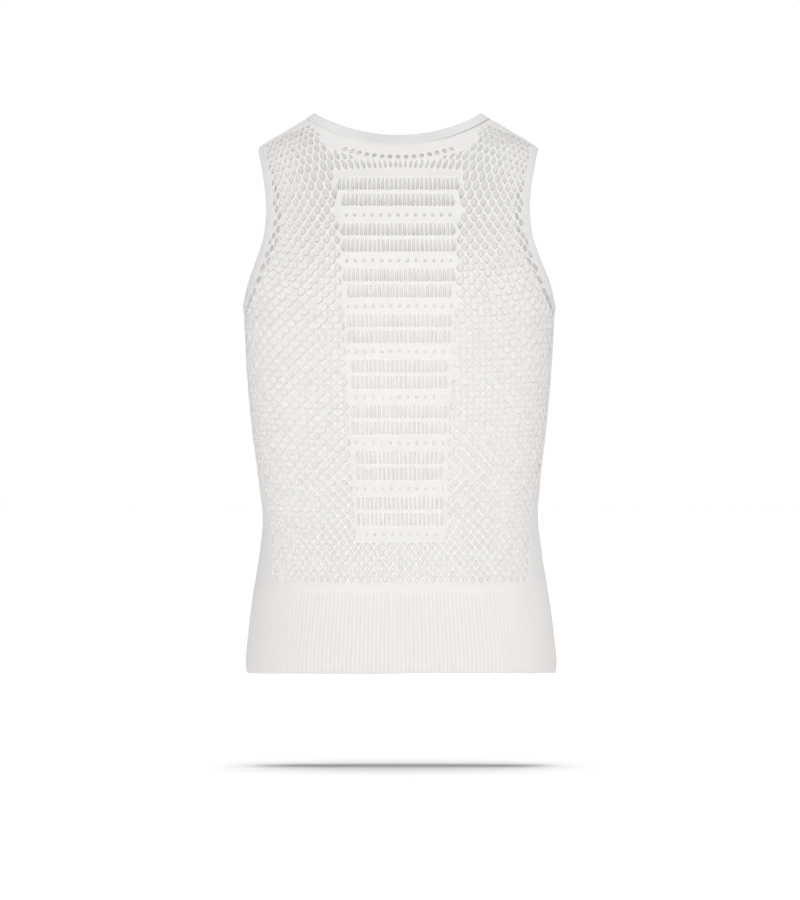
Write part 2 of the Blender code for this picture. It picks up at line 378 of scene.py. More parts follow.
def even_neck_line(line):
    """A line round the neck, made the same on both sides."""
    return closed_by_mirror(line[: 2 * NECK_SAMPLES + 1])


# ---------------------------------------------------------------------------
# Rows and columns of the net

# The bend of the top rows down along the shoulder line
ARCH_START = 0.09  # how far from the middle it is
ARCH_BEND = 0.025  # how softly it begins
ARCH_HALF_SLOPE = -0.31  # half the slope past it
ARCH_LEVELS = (-0.100, -0.030)  # the rows between these bend in part
# The rise of the rows towards the sides
RISE_START = 0.06  # how far from the middle it starts
RISE_UNIT = 0.10  # how much further out it is about what the table says
RISE_LEVEL_AT = 0.08  # where a row passes through its own level


def arch(x):
    """How far the shoulder line lies below the neck points, smoothly, at a distance."""
    beyond = np.abs(x) - ARCH_START
    return ARCH_HALF_SLOPE * (beyond + np.sqrt(beyond ** 2 + ARCH_BEND ** 2))


def side_share(x):
    """How far out a place is, for the rise of the rows towards the sides."""
    return (np.clip(np.abs(x) - RISE_START, 0.0, None) / RISE_UNIT) ** 2


def row_height(level, x):
    """The height at which a row passes at a distance from the middle."""
    follow = smooth_step(level, *ARCH_LEVELS) * (arch(x) - arch(STRAP_MIDDLE))
    return level + follow + row_rise(level) * (side_share(x) - side_share(RISE_LEVEL_AT))


ROW_SAMPLES = 481
FARTHEST_OUT = 0.20
HALVINGS = 40
# The last row lies at least this far under the shoulder line. Above SLOPING_START the
# form leans in, so a row's step is measured along it, over a small rise
LAST_ROW_GAP = 0.0012
SLOPING_START = -0.11
SMALL_RISE = 0.0005


def row_places(level):
    """Places along a row, from the middle to the side, at even swings."""
    low = 0.0
    high = FARTHEST_OUT
    for _ in range(HALVINGS):
        reach = (low + high) / 2
        if reach < half_width(row_height(level, reach)):
            low = reach
        else:
            high = reach
    x = low * np.sin(np.linspace(0.0, QUARTER_TURN, ROW_SAMPLES))
    heights = row_height(level, x)
    turns = np.arcsin(np.clip(x / half_width(heights), 0.0, 1.0))
    return turns, heights


def row_levels():
    """The levels of all rows, from the hem rib up to the shoulder line."""
    levels = [FIRST_ROW - row_period(FIRST_ROW) / 2, FIRST_ROW]
    ridge_ovals = np.array(FORM_OVALS[-3:])
    ridge = np.interp(-STRAP_MIDDLE, -ridge_ovals[:, 2], ridge_ovals[:, 0])
    while levels[-1] < ridge - LAST_ROW_GAP:
        level = levels[-1]
        step = row_period(level) / 2
        if level > SLOPING_START:
            turn = math.asin(STRAP_MIDDLE / half_width(level))
            here = form_points(turn, level)
            trial = min(level + SMALL_RISE, ridge)
            turn_above = math.asin(min(STRAP_MIDDLE / half_width(trial), 1.0))
            above = form_points(turn_above, trial)
            step *= (trial - level) / float(np.linalg.norm(above - here))
        levels.append(level + step)
    return levels


class Net:
    """The rows and columns of one half of the back or the front.

    Each row knows its phases, a count of columns from the middle, at fine steps. With a
    centre_count the columns are even up to the guide column.
    """

    def __init__(self, centre_count=None):
        self.rows = []
        for level in row_levels():
            turns, heights = row_places(level)
            lengths = path_lengths(form_points(turns, heights))
            x = half_width(heights) * np.sin(turns)
            guide = float(np.interp(guide_distance(level), x, lengths))
            if centre_count is None:
                count = guide_count(level)
                at_guide = 1 / guide_spacing(level)
            else:
                count = centre_count
                at_guide = count / guide
            at_middle = 2 * count / guide - at_guide
            at_side = 1 / side_spacing(level)
            inside = np.clip(lengths / guide, 0.0, 1.0)
            outside = np.clip((lengths - guide) / SIDE_SPACING_REACH, 0.0, None)
            near = np.minimum(outside, 1.0)
            phase = guide * (at_middle * inside + (at_guide - at_middle) * inside ** 2 / 2)
            phase += SIDE_SPACING_REACH * (at_guide * near + (at_side - at_guide) * near ** 2 / 2)
            phase += SIDE_SPACING_REACH * at_side * (outside - near)
            self.rows.append((phase - count, turns, heights))

    def places(self, row, phases):
        """The turns and heights at phases along a row."""
        known, turns, heights = self.rows[row]
        slope = (turns[-1] - turns[-2]) / (known[-1] - known[-2])
        found = np.interp(phases, known, turns)
        found = np.where(phases > known[-1], turns[-1] + (phases - known[-1]) * slope, found)
        return np.stack((found, np.interp(phases, known, heights)), axis=1)


# ---------------------------------------------------------------------------
# Hole outlines

HOLE_CORNERS = 14
ROUND_CORNERS = 12
SLOT_END_CORNERS = 6
STRAND_WIDTHS = (  # height, how wide the strands between holes are
    (-0.530, 0.0021),
    (-0.460, 0.0024),
    (-0.390, 0.0035),
    (-0.130, 0.0035),
    (-0.060, 0.0030),
    (0.000, 0.0028),
)
strand_width = table_curve(STRAND_WIDTHS, 1)


def rounded_rhomb(corners, top_power, bottom_power):
    """A rounded rhomb that is one wide and one high, blunter above than below."""
    angles = (np.arange(corners) + 0.5) / corners * 2 * math.pi - QUARTER_TURN
    cosines = np.cos(angles)
    sines = np.sin(angles)
    power = 2 / np.where(sines > 0, top_power, bottom_power)
    u = np.sign(cosines) * np.abs(cosines) ** power / 2
    v = np.sign(sines) * np.abs(sines) ** power / 2
    return np.stack((u, v), axis=1)


HOLE_SHAPE = rounded_rhomb(HOLE_CORNERS, top_power=1.75, bottom_power=1.42)
LOW_HOLE_SHAPE = rounded_rhomb(HOLE_CORNERS, top_power=1.30, bottom_power=1.22)
ROUND_SHAPE = rounded_rhomb(ROUND_CORNERS, top_power=2.0, bottom_power=2.0)
LOW_HOLE_DEPTHS = (0.425, 0.460)  # where the holes change to the lower shape
HOLE_SHARES = (0.35, 0.85)  # how much of its cell a hole takes each way, least and most
SIDE_OVERRUN = 0.7  # how far past the side a row's holes go, in columns
TOP_CLEARANCE = 0.001  # how far they keep under the neck points
MIDDLE_TURNS = 0.006  # outlines whose mean turn is nearer to the middle's lie on it


def slot_shape(width, length):
    """An upright slot with round ends, in metres, anticlockwise from its right side."""
    radius = width / 2
    angles = (np.arange(SLOT_END_CORNERS) + 0.5) / SLOT_END_CORNERS * math.pi
    top = np.stack((np.cos(angles), np.sin(angles)), axis=1) * radius
    top[:, 1] += length / 2 - radius
    return np.concatenate((top, -top))


class Cutter:
    """A line of places that holes mustn't cross, with the side they lie on."""

    def __init__(self, places, margins, closed=False):
        self.inward = sideways_at(places, closed)
        self.points = on_form(places) + self.inward * np.reshape(margins, (-1, 1))
        self.tree = tree_of(self.points)

    def depths(self, centre, points):
        """How far points near a hole's centre lie inside the line."""
        nearest = self.tree.find(Vector(centre))[1]
        return (points - self.points[nearest]) @ self.inward[nearest]


def clipped(polygon, depths):
    """The part of a polygon of places whose depths are above 0."""
    kept = []
    count = len(polygon)
    for i in range(count):
        j = (i + 1) % count
        if depths[i] > 0:
            kept.append(polygon[i])
        if (depths[i] > 0) != (depths[j] > 0):
            share = depths[i] / (depths[i] - depths[j])
            kept.append(polygon[i] + (polygon[j] - polygon[i]) * share)
    return np.array(kept)


def outline_area(points):
    """The area of a small, nearly flat outline of points."""
    rolled = np.roll(points, -1, axis=0)
    return float(np.linalg.norm(np.cross(points, rolled).sum(axis=0))) / 2


def without_near_corners(places, least):
    """An outline without corners that lie closer than least to the one before."""
    points = on_form(places)
    kept = [0]
    for i in range(1, len(places)):
        if np.linalg.norm(points[i] - points[kept[-1]]) > least:
            kept.append(i)
    while len(kept) > 3 and np.linalg.norm(points[kept[-1]] - points[kept[0]]) < least:
        kept.pop()
    return places[kept]


LEAST_HOLE_SHARE = 0.30  # of its whole area, or a hole that is cut back is dropped
LEAST_CORNER_GAP = 0.00035


def cut_to_region(outlines, cutters):
    """Outlines cut back to every cutter's side; those left too small are dropped."""
    kept = []
    for outline in outlines:
        points = on_form(outline)
        whole = outline_area(points)
        centre = points.mean(axis=0)
        for cutter in cutters:
            depths = cutter.depths(centre, points)
            if depths.min() > 0:
                continue
            outline = clipped(outline, depths)
            if len(outline) < 3:
                break
            points = on_form(outline)
        if len(outline) < 3 or outline_area(points) < LEAST_HOLE_SHARE * whole:
            continue
        outline = without_near_corners(outline, LEAST_CORNER_GAP)
        if len(outline) >= 4:
            kept.append(outline)
    return kept


def net_outlines(net):
    """The outlines of all holes of one half of a net, before they are cut back."""
    outlines = []
    for row in range(1, len(net.rows) - 1):
        half = 0.5 * (row % 2)
        known = net.rows[row][0]
        first = math.ceil(known[0] - half)
        phases = np.arange(first, known[-1] + SIDE_OVERRUN, 1.0) + half
        phases = phases[phases >= known[0] - 1e-6]
        centres = net.places(row, phases)
        right = net.places(row, phases + 0.5)
        left = net.places(row, np.maximum(phases - 0.5, known[0]))
        left_steps = np.minimum(phases - known[0], 0.5).reshape(-1, 1)
        across = (right - left) / (0.5 + left_steps)
        above = net.places(row + 1, phases)
        below = net.places(row - 1, phases)
        along = above - below
        at = on_form(centres)
        slopes = np.stack(slopes_at(centres), axis=-1)
        wide = np.linalg.norm(np.einsum("nij,nj->ni", slopes, across), axis=1)
        tall = np.linalg.norm(np.einsum("nij,nj->ni", slopes, along), axis=1)
        share = 1 - strand_width(centres[:, 1]) * np.hypot(wide, tall) / (wide * tall)
        share = np.clip(share, *HOLE_SHARES)
        low = smooth_step(-centres[:, 1], *LOW_HOLE_DEPTHS)
        for i in range(len(phases)):
            if at[i, 2] > -TOP_CLEARANCE:
                continue
            shape = HOLE_SHAPE + (LOW_HOLE_SHAPE - HOLE_SHAPE) * low[i]
            shape = shape * share[i]
            outlines.append(centres[i] + shape[:, :1] * across[i] + shape[:, 1:] * along[i])
    return outlines


def mirrored_outlines(outlines, middle_turn):
    """Outlines on the other side of the middle; those on the middle are left out."""
    found = []
    for outline in outlines:
        if abs(outline[:, 0].mean() - middle_turn) > MIDDLE_TURNS:
            found.append(mirrored(outline, middle_turn))
    return found


def on_right_half(outlines):
    """Outlines of the back that are centred on its middle or lie right of it."""
    kept = []
    for outline in outlines:
        if outline[:, 0].min() > 0.0 or abs(outline[:, 0].mean()) < MIDDLE_TURNS:
            kept.append(outline)
    return kept


def laid_outlines(shape, places):
    """Copies of a shape in metres, upright on the form, at several places."""
    outlines = []
    along_turn, along_height = slopes_at(places)
    for i, place in enumerate(places):
        turn_metres = float(np.linalg.norm(along_turn[i]))
        height_metres = float(np.linalg.norm(along_height[i]))
        outlines.append(place + shape / np.array((turn_metres, height_metres)))
    return outlines


def level_places(height, offsets):
    """Places on a level line at distances along the cloth from the middle of the back."""
    turns = np.linspace(-QUARTER_TURN, QUARTER_TURN, EDGE_SAMPLES)
    lengths = level_lengths(turns, height)
    lengths -= np.interp(0.0, turns, lengths)
    return at_height(np.interp(offsets, lengths, turns), height)


# ---------------------------------------------------------------------------
# The openwork column down the middle of the back

COLUMN_TOP = -0.0705
COLUMN_BOTTOM = -0.4665
COLUMN_HALF_WIDTHS = (0.0665, 0.0465)
COLUMN_BLOCKS = 8
SLOT_PITCH = 0.0047
SLOT_WIDTH = 0.0026
EYELET_RADIUS = 0.0019
EYELET_STRETCH = (0.9, 1.25)  # across, along
# Each block, in shares of its height
SLOT_LENGTH = 0.285
SLOT_ROWS = (0.155, 0.51)  # how far down its two rows of slots lie
EYELET_ROW = 0.835  # how far down its row of eyelets lies


def column_half_width(height):
    """Half the width of the openwork column at a height."""
    share = (COLUMN_TOP - height) / (COLUMN_TOP - COLUMN_BOTTOM)
    wide, narrow = COLUMN_HALF_WIDTHS
    return wide + (narrow - wide) * share


def level_row(shape, height, count, pitch):
    """Copies of a shape in a level row, centred on the middle of the back."""
    offsets = (np.arange(count) - (count - 1) / 2) * pitch
    return laid_outlines(shape, level_places(height, offsets))


def column_outlines():
    """Slots and eyelets of the openwork column, in equal blocks."""
    outlines = []
    heights = np.linspace(COLUMN_TOP, COLUMN_BOTTOM, COLUMN_BLOCKS + 1)
    eyelet = ROUND_SHAPE * 2 * EYELET_RADIUS * np.array(EYELET_STRETCH)
    eyelet_pitch = 2 * SLOT_PITCH
    for top, bottom in zip(heights[:-1], heights[1:]):
        block = top - bottom
        slot = slot_shape(SLOT_WIDTH, block * SLOT_LENGTH)
        for share in SLOT_ROWS:
            height = top - block * share
            count = 2 * int(column_half_width(height) / SLOT_PITCH)
            outlines += level_row(slot, height, count, SLOT_PITCH)
        height = top - block * EYELET_ROW
        count = 2 * int(column_half_width(height) / eyelet_pitch) + 1
        outlines += level_row(eyelet, height, count, eyelet_pitch)
    return outlines


# ---------------------------------------------------------------------------
# Filling in the cloth between holes

# The flat map of the cloth has the turn times this radius across, and the height upwards
PLANE_RADIUS = 0.14
EDGE_STEP = 0.0035  # how far apart the places of a panel's edge are
# The points of plain cloth
FILL_SPACING = 0.0055  # how far apart they are
FILL_ROW_SHARE = 0.87  # how far apart their rows are, as a share of that
FILL_CLEARANCE = 0.0030  # how far they keep from all others
FILL_COLUMNS = 60  # how many a row may have on each side of the middle
FILL_SAMPLES = 361  # how many places the line that a row is spaced along has
# Points along the raised rim of each hole, and along the middle of each strand: how far
# from the hole's outline, how far at least from every outline, and how far apart
RIM_POINTS = (0.0007, 0.00055, 0.0003)
STRAND_POINTS = (0.00160, 0.00115, 0.0014)
BORDER_CLEARANCE = 0.0009


def plane_points(places):
    """The points of places on the flat map."""
    return np.stack((places[:, 0] * PLANE_RADIUS, places[:, 1]), axis=1)


def resampled(path, step):
    """A path of places with points about a step apart, both ends kept."""
    lengths = path_lengths(on_form(path))
    return evenly_spaced(path, max(int(round(lengths[-1] / step)), 1))


def inside_loop(points, loop):
    """Which plane points lie inside a closed loop of plane points."""
    inside = np.zeros(len(points), dtype=bool)
    x1, y1 = loop[-1]
    for x0, y0 in loop:
        crosses = (y0 > points[:, 1]) != (y1 > points[:, 1])
        reach = x0 + (points[:, 1] - y0) * (x1 - x0) / (y1 - y0 if y1 != y0 else 1e-12)
        inside ^= crosses & (points[:, 0] < reach)
        x1, y1 = x0, y0
    return inside


def tree_of(points):
    """Points sorted so that the nearest one is found quickly."""
    tree = kdtree.KDTree(len(points))
    for i, point in enumerate(points):
        tree.insert(point, i)
    tree.balance()
    return tree


def with_midpoints(points):
    """The points of a closed loop and those halfway between them."""
    return np.concatenate((points, (points + np.roll(points, -1, axis=0)) / 2))


def outside_holes(places, outlines):
    """The places that lie in no hole."""
    tree = tree_of(on_form(places))
    plane = plane_points(places)
    outside = np.ones(len(places), dtype=bool)
    for outline in outlines:
        points = on_form(outline)
        middle = points.mean(axis=0)
        reach = np.linalg.norm(points - middle, axis=1).max()
        near = np.array([found[1] for found in tree.find_range(middle, reach)], dtype=int)
        if len(near):
            outside[near] &= ~inside_loop(plane[near], plane_points(outline))
    return places[outside]


def strand_places(edge, outlines, distance, clearance, spacing):
    """Places in the cloth round the holes, at a distance from their outlines."""
    points = [on_form(outline) for outline in outlines]
    outward = np.concatenate([sideways_at(outline) for outline in outlines])
    places = np.concatenate(outlines)
    places = places + place_changes(places, outward * distance)
    candidates = on_form(places)
    holes = tree_of(np.concatenate([with_midpoints(corners) for corners in points]))
    border = tree_of(with_midpoints(with_midpoints(on_form(edge))))
    inside = inside_loop(plane_points(places), plane_points(edge))
    kept = []
    taken = {}
    for i, point in enumerate(candidates):
        if not inside[i] or holes.find(point)[2] < clearance:
            continue
        if border.find(point)[2] < BORDER_CLEARANCE:
            continue
        cell = tuple(np.floor(point / spacing).astype(int))
        near = []
        for dx in (-1, 0, 1):
            for dy in (-1, 0, 1):
                for dz in (-1, 0, 1):
                    near += taken.get((cell[0] + dx, cell[1] + dy, cell[2] + dz), [])
        if all(np.linalg.norm(point - other) > spacing for other in near):
            taken.setdefault(cell, []).append(point)
            kept.append(i)
    return outside_holes(places[kept], outlines)


def fill_places(edge, taken_places):
    """Places on an even grid, inside the edge and clear of it and of all taken ones."""
    middle_turn = (edge[:, 0].min() + edge[:, 0].max()) / 2
    tree = tree_of(on_form(taken_places))
    found = []
    turns = np.linspace(-QUARTER_TURN, QUARTER_TURN, FILL_SAMPLES)
    columns = np.arange(-FILL_COLUMNS, FILL_COLUMNS + 1)
    for row, height in enumerate(np.arange(HEM_RIB_TOP, 0.0, FILL_SPACING * FILL_ROW_SHARE)):
        lengths = level_lengths(turns + middle_turn, height)
        lengths -= lengths[FILL_SAMPLES // 2]
        offsets = (columns + 0.5 * (row % 2)) * FILL_SPACING
        offsets = offsets[np.abs(offsets) < lengths[-1]]
        found.append(at_height(np.interp(offsets, lengths, turns), height))
    found = np.concatenate(found)
    found[:, 0] += middle_turn
    found = found[inside_loop(plane_points(found), plane_points(edge))]
    points = on_form(found)
    clear = [tree.find(point)[2] > FILL_CLEARANCE for point in points]
    return found[np.array(clear)]


def triangulated(edge, outlines, fills):
    """Triangles inside an edge, in the cloth and in the holes that the outlines bound.

    Returns the places, the loops of their numbers (the edge first), and both sets of
    triangles.
    """
    places = np.concatenate([edge] + outlines + [fills])
    loops = []
    edges = []
    start = 0
    for loop in [edge] + outlines:
        numbers = np.arange(start, start + len(loop))
        loops.append(numbers)
        edges += list(zip(numbers.tolist(), np.roll(numbers, -1).tolist()))
        start += len(loop)
    corners = [Vector(point) for point in plane_points(places)]
    result = delaunay_2d_cdt(corners, edges, [], 1, 1e-7)
    faces = np.array(result[2])
    source = np.array([found[0] if found else -1 for found in result[3]])
    if (source < 0).any() or len(source) != len(places):
        raise ValueError("hole outlines cross each other or the edge")
    faces = source[faces]
    owner = np.full(len(places), -1)
    for number, loop in enumerate(loops[1:]):
        owner[loop] = number
    owners = owner[faces]
    in_hole = (owners == owners[:, :1]).all(axis=1) & (owners[:, 0] >= 0)
    return places, loops, faces[~in_hole], faces[in_hole]


# ---------------------------------------------------------------------------
# The outlines of the back and the front, and where their nets may reach

# The panels end under the bands, and the nets some way from the bands
BAND_OVERLAP = 0.0012
NECK_EYELET_DEPTH = 0.0150
NECK_EYELET_PITCH = 0.0086
NECK_EYELET_RADIUS = 0.0027
NECK_EYELET_REACH = 0.060
NECK_NET_MARGIN = 0.0205
STRAP_NECK_MARGIN = 0.0095
ARMHOLE_MARGIN = 0.0027
SEAM_MARGIN = 0.0018
RIDGE_MARGINS = (0.0370, 0.0180)  # at the neck, at the shoulder tip
NET_BOTTOM = -0.5131
COLUMN_MARGIN = 0.0025
# The line that the net's lower corner keeps inside of: distances from the middle, heights
WEDGE = ((0.1500, -0.405), (0.1400, -0.440), (0.1385, -0.5145))
FRONT_CENTRE_COUNT = 8  # columns of the front's net from its middle to the guide column
# Where the net's margin to the neck gives way to the narrower one of the strap
STRAP_RANGE = (0.064, 0.086)
# How far over and under the column the net keeps away
COLUMN_GAP_ABOVE = 0.0065
COLUMN_GAP_BELOW = 0.001
# How far past the middle the net's lower limit runs, in turn
PAST_MIDDLE = -0.3
# Places on the lines: the wedge's, the other limits', and the fine ones of the edge
WEDGE_SAMPLES = 40
LIMIT_SAMPLES = 120
HEM_LINE_SAMPLES = 200
SIDE_LINE_SAMPLES = 100
SHOULDER_LINE_SAMPLES = 60

armhole = armhole_loop()
neck = neck_loop()
armhole_panel_edge = moved_into_cloth(armhole, ARMHOLE_BAND_WIDTH - BAND_OVERLAP)
neck_panel_edge = even_neck_line(moved_into_cloth(neck, NECK_BAND_WIDTH - BAND_OVERLAP))


def to_places(points):
    """Places of the back at distances from its middle plane and heights."""
    x, heights = points[:, 0], points[:, 1]
    return np.stack((np.arcsin(np.clip(x / half_width(heights), -1, 1)), heights), axis=1)


def panel_edge(neck_half, armhole_half, middle_turn):
    """The closed edge of the back or the front, anticlockwise by turn and height.

    Both half edges are given by their swing from the panel's middle and height, and
    run from the middle to the shoulder line and from under the arm to it.
    """
    side = QUARTER_TURN
    neck_half = neck_half.copy()
    armhole_half = armhole_half.copy()
    neck_half[-1, 0] = side
    armhole_half[0, 0] = side
    armhole_half[-1, 0] = side
    parts = [
        np.linspace((0.0, HEM_RIB_TOP), (side, HEM_RIB_TOP), HEM_LINE_SAMPLES),
        np.linspace((side, HEM_RIB_TOP), armhole_half[0], SIDE_LINE_SAMPLES),
        armhole_half,
        np.linspace(armhole_half[-1], neck_half[-1], SHOULDER_LINE_SAMPLES),
        neck_half[::-1],
    ]
    parts = [resampled(part, EDGE_STEP) for part in parts]
    right = np.concatenate([part[:-1] for part in parts] + [parts[-1][-1:]])
    loop = np.concatenate((right, mirrored(right[1:-1], 0.0)))
    loop[:, 0] += middle_turn
    return loop


def column_loop():
    """The line round the openwork column that the net's holes keep clear of."""
    top = COLUMN_TOP + COLUMN_GAP_ABOVE
    bottom = COLUMN_BOTTOM - COLUMN_GAP_BELOW
    wide = column_half_width(top) + COLUMN_MARGIN
    narrow = column_half_width(bottom) + COLUMN_MARGIN
    corners = ((narrow, bottom), (wide, top), (-wide, top), (-narrow, bottom))
    sides = []
    for start, end in zip(corners, corners[1:] + corners[:1]):
        sides.append(np.linspace(start, end, LIMIT_SAMPLES)[:-1])
    return to_places(np.concatenate(sides))


def net_cutters(neck_margins, flip):
    """What cuts the right half of a net: neck, armhole, shoulder, side, hem and wedge.

    flip turns the straight lines over to the front.
    """
    side = QUARTER_TURN
    under_arm = armhole_panel_edge[:, 1].min()
    tip = armhole_panel_edge[:, 1].max()
    lines = [
        Cutter(neck_panel_edge, neck_margins, closed=True),
        Cutter(armhole_panel_edge, ARMHOLE_MARGIN, closed=True),
    ]
    runs = (
        ((side, 0.0), (side, tip), np.linspace(*RIDGE_MARGINS, LIMIT_SAMPLES)),
        ((side, under_arm), (side, HEM_RIB_TOP), SEAM_MARGIN),
        ((side, NET_BOTTOM), (PAST_MIDDLE, NET_BOTTOM), 0.0),
    )
    paths = [(np.linspace(start, end, LIMIT_SAMPLES), margin) for start, end, margin in runs]
    wedge = [np.linspace(*ends, WEDGE_SAMPLES) for ends in zip(WEDGE, WEDGE[1:])]
    paths.append((to_places(np.concatenate((wedge[0], wedge[1][1:]))), 0.0))
    for path, margin in paths:
        if flip:
            path = to_front(path)
            margin = np.atleast_1d(margin)[::-1]
        lines.append(Cutter(path, margin))
    return lines


def neck_eyelets():
    """Round eyelets along the back neckline."""
    line = even_neck_line(moved_into_cloth(neck, NECK_BAND_WIDTH + NECK_EYELET_DEPTH))
    path = line[: NECK_SAMPLES + 1]
    points = on_form(path)
    lengths = path_lengths(points)
    reach = np.interp(NECK_EYELET_REACH, points[:, 0], lengths)
    places = at_lengths(np.arange(0.0, reach, NECK_EYELET_PITCH), lengths, path)
    return laid_outlines(ROUND_SHAPE * 2 * NECK_EYELET_RADIUS, places)


def back_layout():
    """The back's edge, and the outlines of its holes."""
    edge = panel_edge(
        neck_panel_edge[: NECK_SAMPLES + 1], armhole_panel_edge[ARMHOLE_SAMPLES::-1], 0.0
    )
    points = on_form(neck_panel_edge)
    near_strap = smooth_step(np.abs(points[:, 0]), *STRAP_RANGE)
    margins = NECK_NET_MARGIN + (STRAP_NECK_MARGIN - NECK_NET_MARGIN) * near_strap
    cutters = net_cutters(margins, flip=False)
    cutters.append(Cutter(column_loop(), 0.0, closed=True))
    right = cut_to_region(on_right_half(net_outlines(Net())), cutters)
    outlines = right + mirrored_outlines(right, 0.0)
    eyelets = neck_eyelets()
    outlines += eyelets + mirrored_outlines(eyelets, 0.0)
    outlines += column_outlines()
    return edge, outlines


def front_layout():
    """The front's edge, and the outlines of its closed holes."""
    neck_half = to_front(neck_panel_edge[NECK_SAMPLES : 2 * NECK_SAMPLES + 1])
    armhole_half = np.concatenate((armhole_panel_edge[ARMHOLE_SAMPLES:], armhole_panel_edge[:1]))
    armhole_half = to_front(armhole_half)[::-1]
    edge = panel_edge(neck_half, armhole_half, HALF_TURN)
    cutters = net_cutters(STRAP_NECK_MARGIN, flip=True)
    right = on_right_half(net_outlines(Net(FRONT_CENTRE_COUNT)))
    right = cut_to_region([to_front(outline) for outline in right], cutters)
    return edge, right + mirrored_outlines(right, HALF_TURN)


# ---------------------------------------------------------------------------
# Shells: the outer and inner sides of the cloth, and what joins them

# What each piece's map of the cloth, and its share of painted shade at each point (below 0 a
# painted highlight), are called
CLOTH_MAP = "Cloth"
SHADE = "shade"
# How far outside the form the cloth lies
PLAIN_LEVEL = 0.0006  # its outer side, between holes
CREST_LEVEL = 0.00075  # on the crests round the holes
RIM_LEVEL = 0.00035  # at a hole's outer rim
MIDDLE_LEVEL = -0.0001  # half way through a hole
INNER_RIM_LEVEL = -0.00045  # at a hole's inner rim
INNER_LEVEL = -0.0006  # its inner side
TUCKED_LEVEL = 0.0001  # where a panel's edge goes under a band
FLOOR_LEVEL = -0.00015  # on a closed hole's floor
# How much a hole narrows half way through, and its floor inside its rim
RIM_BULGE = 0.00045
FLOOR_BULGE = 0.00035
# Painted shade darkens one side of each hole, standing in for the shadow on its wall: its bottom
# near the shoulders and its lower right further down, where it is fainter too
UPPER_SHADED_SIDE = (0.30, -0.95)
LOWER_SHADED_SIDE = (0.80, -0.60)
SHADED_SIDE_HEIGHTS = (-0.26, -0.12)  # where the lower side changes to the upper one
SHADE_ALL_ROUND = 0.35  # the share of that shade a quarter turn away from the side
SHADES_BY_HEIGHT = (
    (-0.530, 0.14),
    (-0.460, 0.14),
    (-0.400, 0.32),
    (-0.260, 0.42),
    (-0.120, 1.20),
    (0.000, 1.00),
)
shade_by_height = table_curve(SHADES_BY_HEIGHT, 1)
# How much painted shade lies on the crests between holes, by height (below 0 is a painted
# highlight), and round and on a closed hole's floor, where painted shade stands in for an open
# hole's depth
CREST_SHADES = (
    (-0.460, -0.26),
    (-0.400, -0.20),
    (-0.260, -0.11),
    (-0.120, -0.12),
    (0.000, -0.10),
)
crest_shade = table_curve(CREST_SHADES, 1)
FLOOR_RIM_SHADE = 0.15
FLOOR_SHADE = 0.20
# The inside of the front is given painted shade, darker than the outside, by height, standing in
# for the shade inside the garment, and less of it towards the side seams, by the share of the
# half width
INSIDE_SHADES = (
    (-0.500, 0.90),
    (-0.460, 0.97),
    (-0.400, 0.99),
    (-0.320, 0.96),
    (-0.200, 1.00),
    (-0.090, 1.36),
    (0.000, 1.38),
)
INSIDE_SIDE_RANGE = (0.55, 0.95)
INSIDE_SIDE_LOSS = 0.38
inside_shade = table_curve(INSIDE_SHADES, 1)
# How near to the line under a band the panel's edge is tucked in
TUCK_REACH = 0.004


def quads(first, second):
    """Two triangles for each step between two loops of numbers, facing right of them."""
    first_next = np.roll(first, -1)
    second_next = np.roll(second, -1)
    lower = np.stack((first, first_next, second_next), axis=1)
    upper = np.stack((first, second_next, second), axis=1)
    return np.concatenate((lower, upper))


def corner_angles(points, triangles):
    """The angle at each corner of each triangle."""
    angles = np.empty(triangles.shape)
    for k in range(3):
        corner = points[triangles[:, k]]
        ahead = unit(points[triangles[:, (k + 1) % 3]] - corner)
        behind = unit(points[triangles[:, (k + 2) % 3]] - corner)
        angles[:, k] = np.arccos(np.clip((ahead * behind).sum(axis=1), -1.0, 1.0))
    return angles


def smooth_normals(points, triangles):
    """The outward direction at each point, averaged over the triangles that meet there."""
    a, b, c = (points[triangles[:, k]] for k in range(3))
    directions = unit(np.cross(b - a, c - a))
    angles = corner_angles(points, triangles)
    normals = np.zeros_like(points)
    for k in range(3):
        weighted = directions * angles[:, k : k + 1]
        for axis in range(3):
            normals[:, axis] += np.bincount(triangles[:, k], weighted[:, axis], len(points))
    lengths = np.linalg.norm(normals, axis=1, keepdims=True)
    return normals / np.where(lengths > 0, lengths, 1.0)


def shape_of(points, smooth, spots, shades, **parts):
    """A shape: its points, with normals from its smooth triangles, map spots and shades.

    Its other parts are whatever its triangles are kept as.
    """
    normals = smooth_normals(points, smooth)
    return {"points": points, "normals": normals, "spots": spots, "shades": shades, **parts}


def into_scene(thing):
    """The same object, linked to the scene."""
    bpy.context.scene.collection.objects.link(thing)
    return thing


def add_piece(name, shape, triangles, material):
    """A mesh object that rides on the body, with smooth shading by its own normals."""
    points = shape["points"]
    used = np.unique(triangles)
    renumbered = np.zeros(len(points), dtype=np.int64)
    renumbered[used] = np.arange(len(used))
    corners = renumbered[triangles].ravel().astype(np.int32)
    count = len(triangles)
    mesh = bpy.data.meshes.new(name)
    mesh.vertices.add(len(used))
    mesh.vertices.foreach_set("co", points[used].astype(np.float32).ravel())
    mesh.loops.add(3 * count)
    mesh.loops.foreach_set("vertex_index", corners)
    mesh.polygons.add(count)
    mesh.polygons.foreach_set("loop_start", np.arange(0, 3 * count, 3, dtype=np.int32))
    mesh.update(calc_edges=True)
    mesh.validate()
    layer = mesh.uv_layers.new(name=CLOTH_MAP)
    layer.data.foreach_set("uv", shape["spots"][used][corners].astype(np.float32).ravel())
    shades = mesh.attributes.new(SHADE, "FLOAT", "POINT")
    shades.data.foreach_set("value", shape["shades"][used].astype(np.float32))
    mesh.normals_split_custom_set_from_vertices(shape["normals"][used].tolist())
    piece = into_scene(bpy.data.objects.new(name, mesh))
    mesh.materials.append(material)
    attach(piece, "root")
    return piece


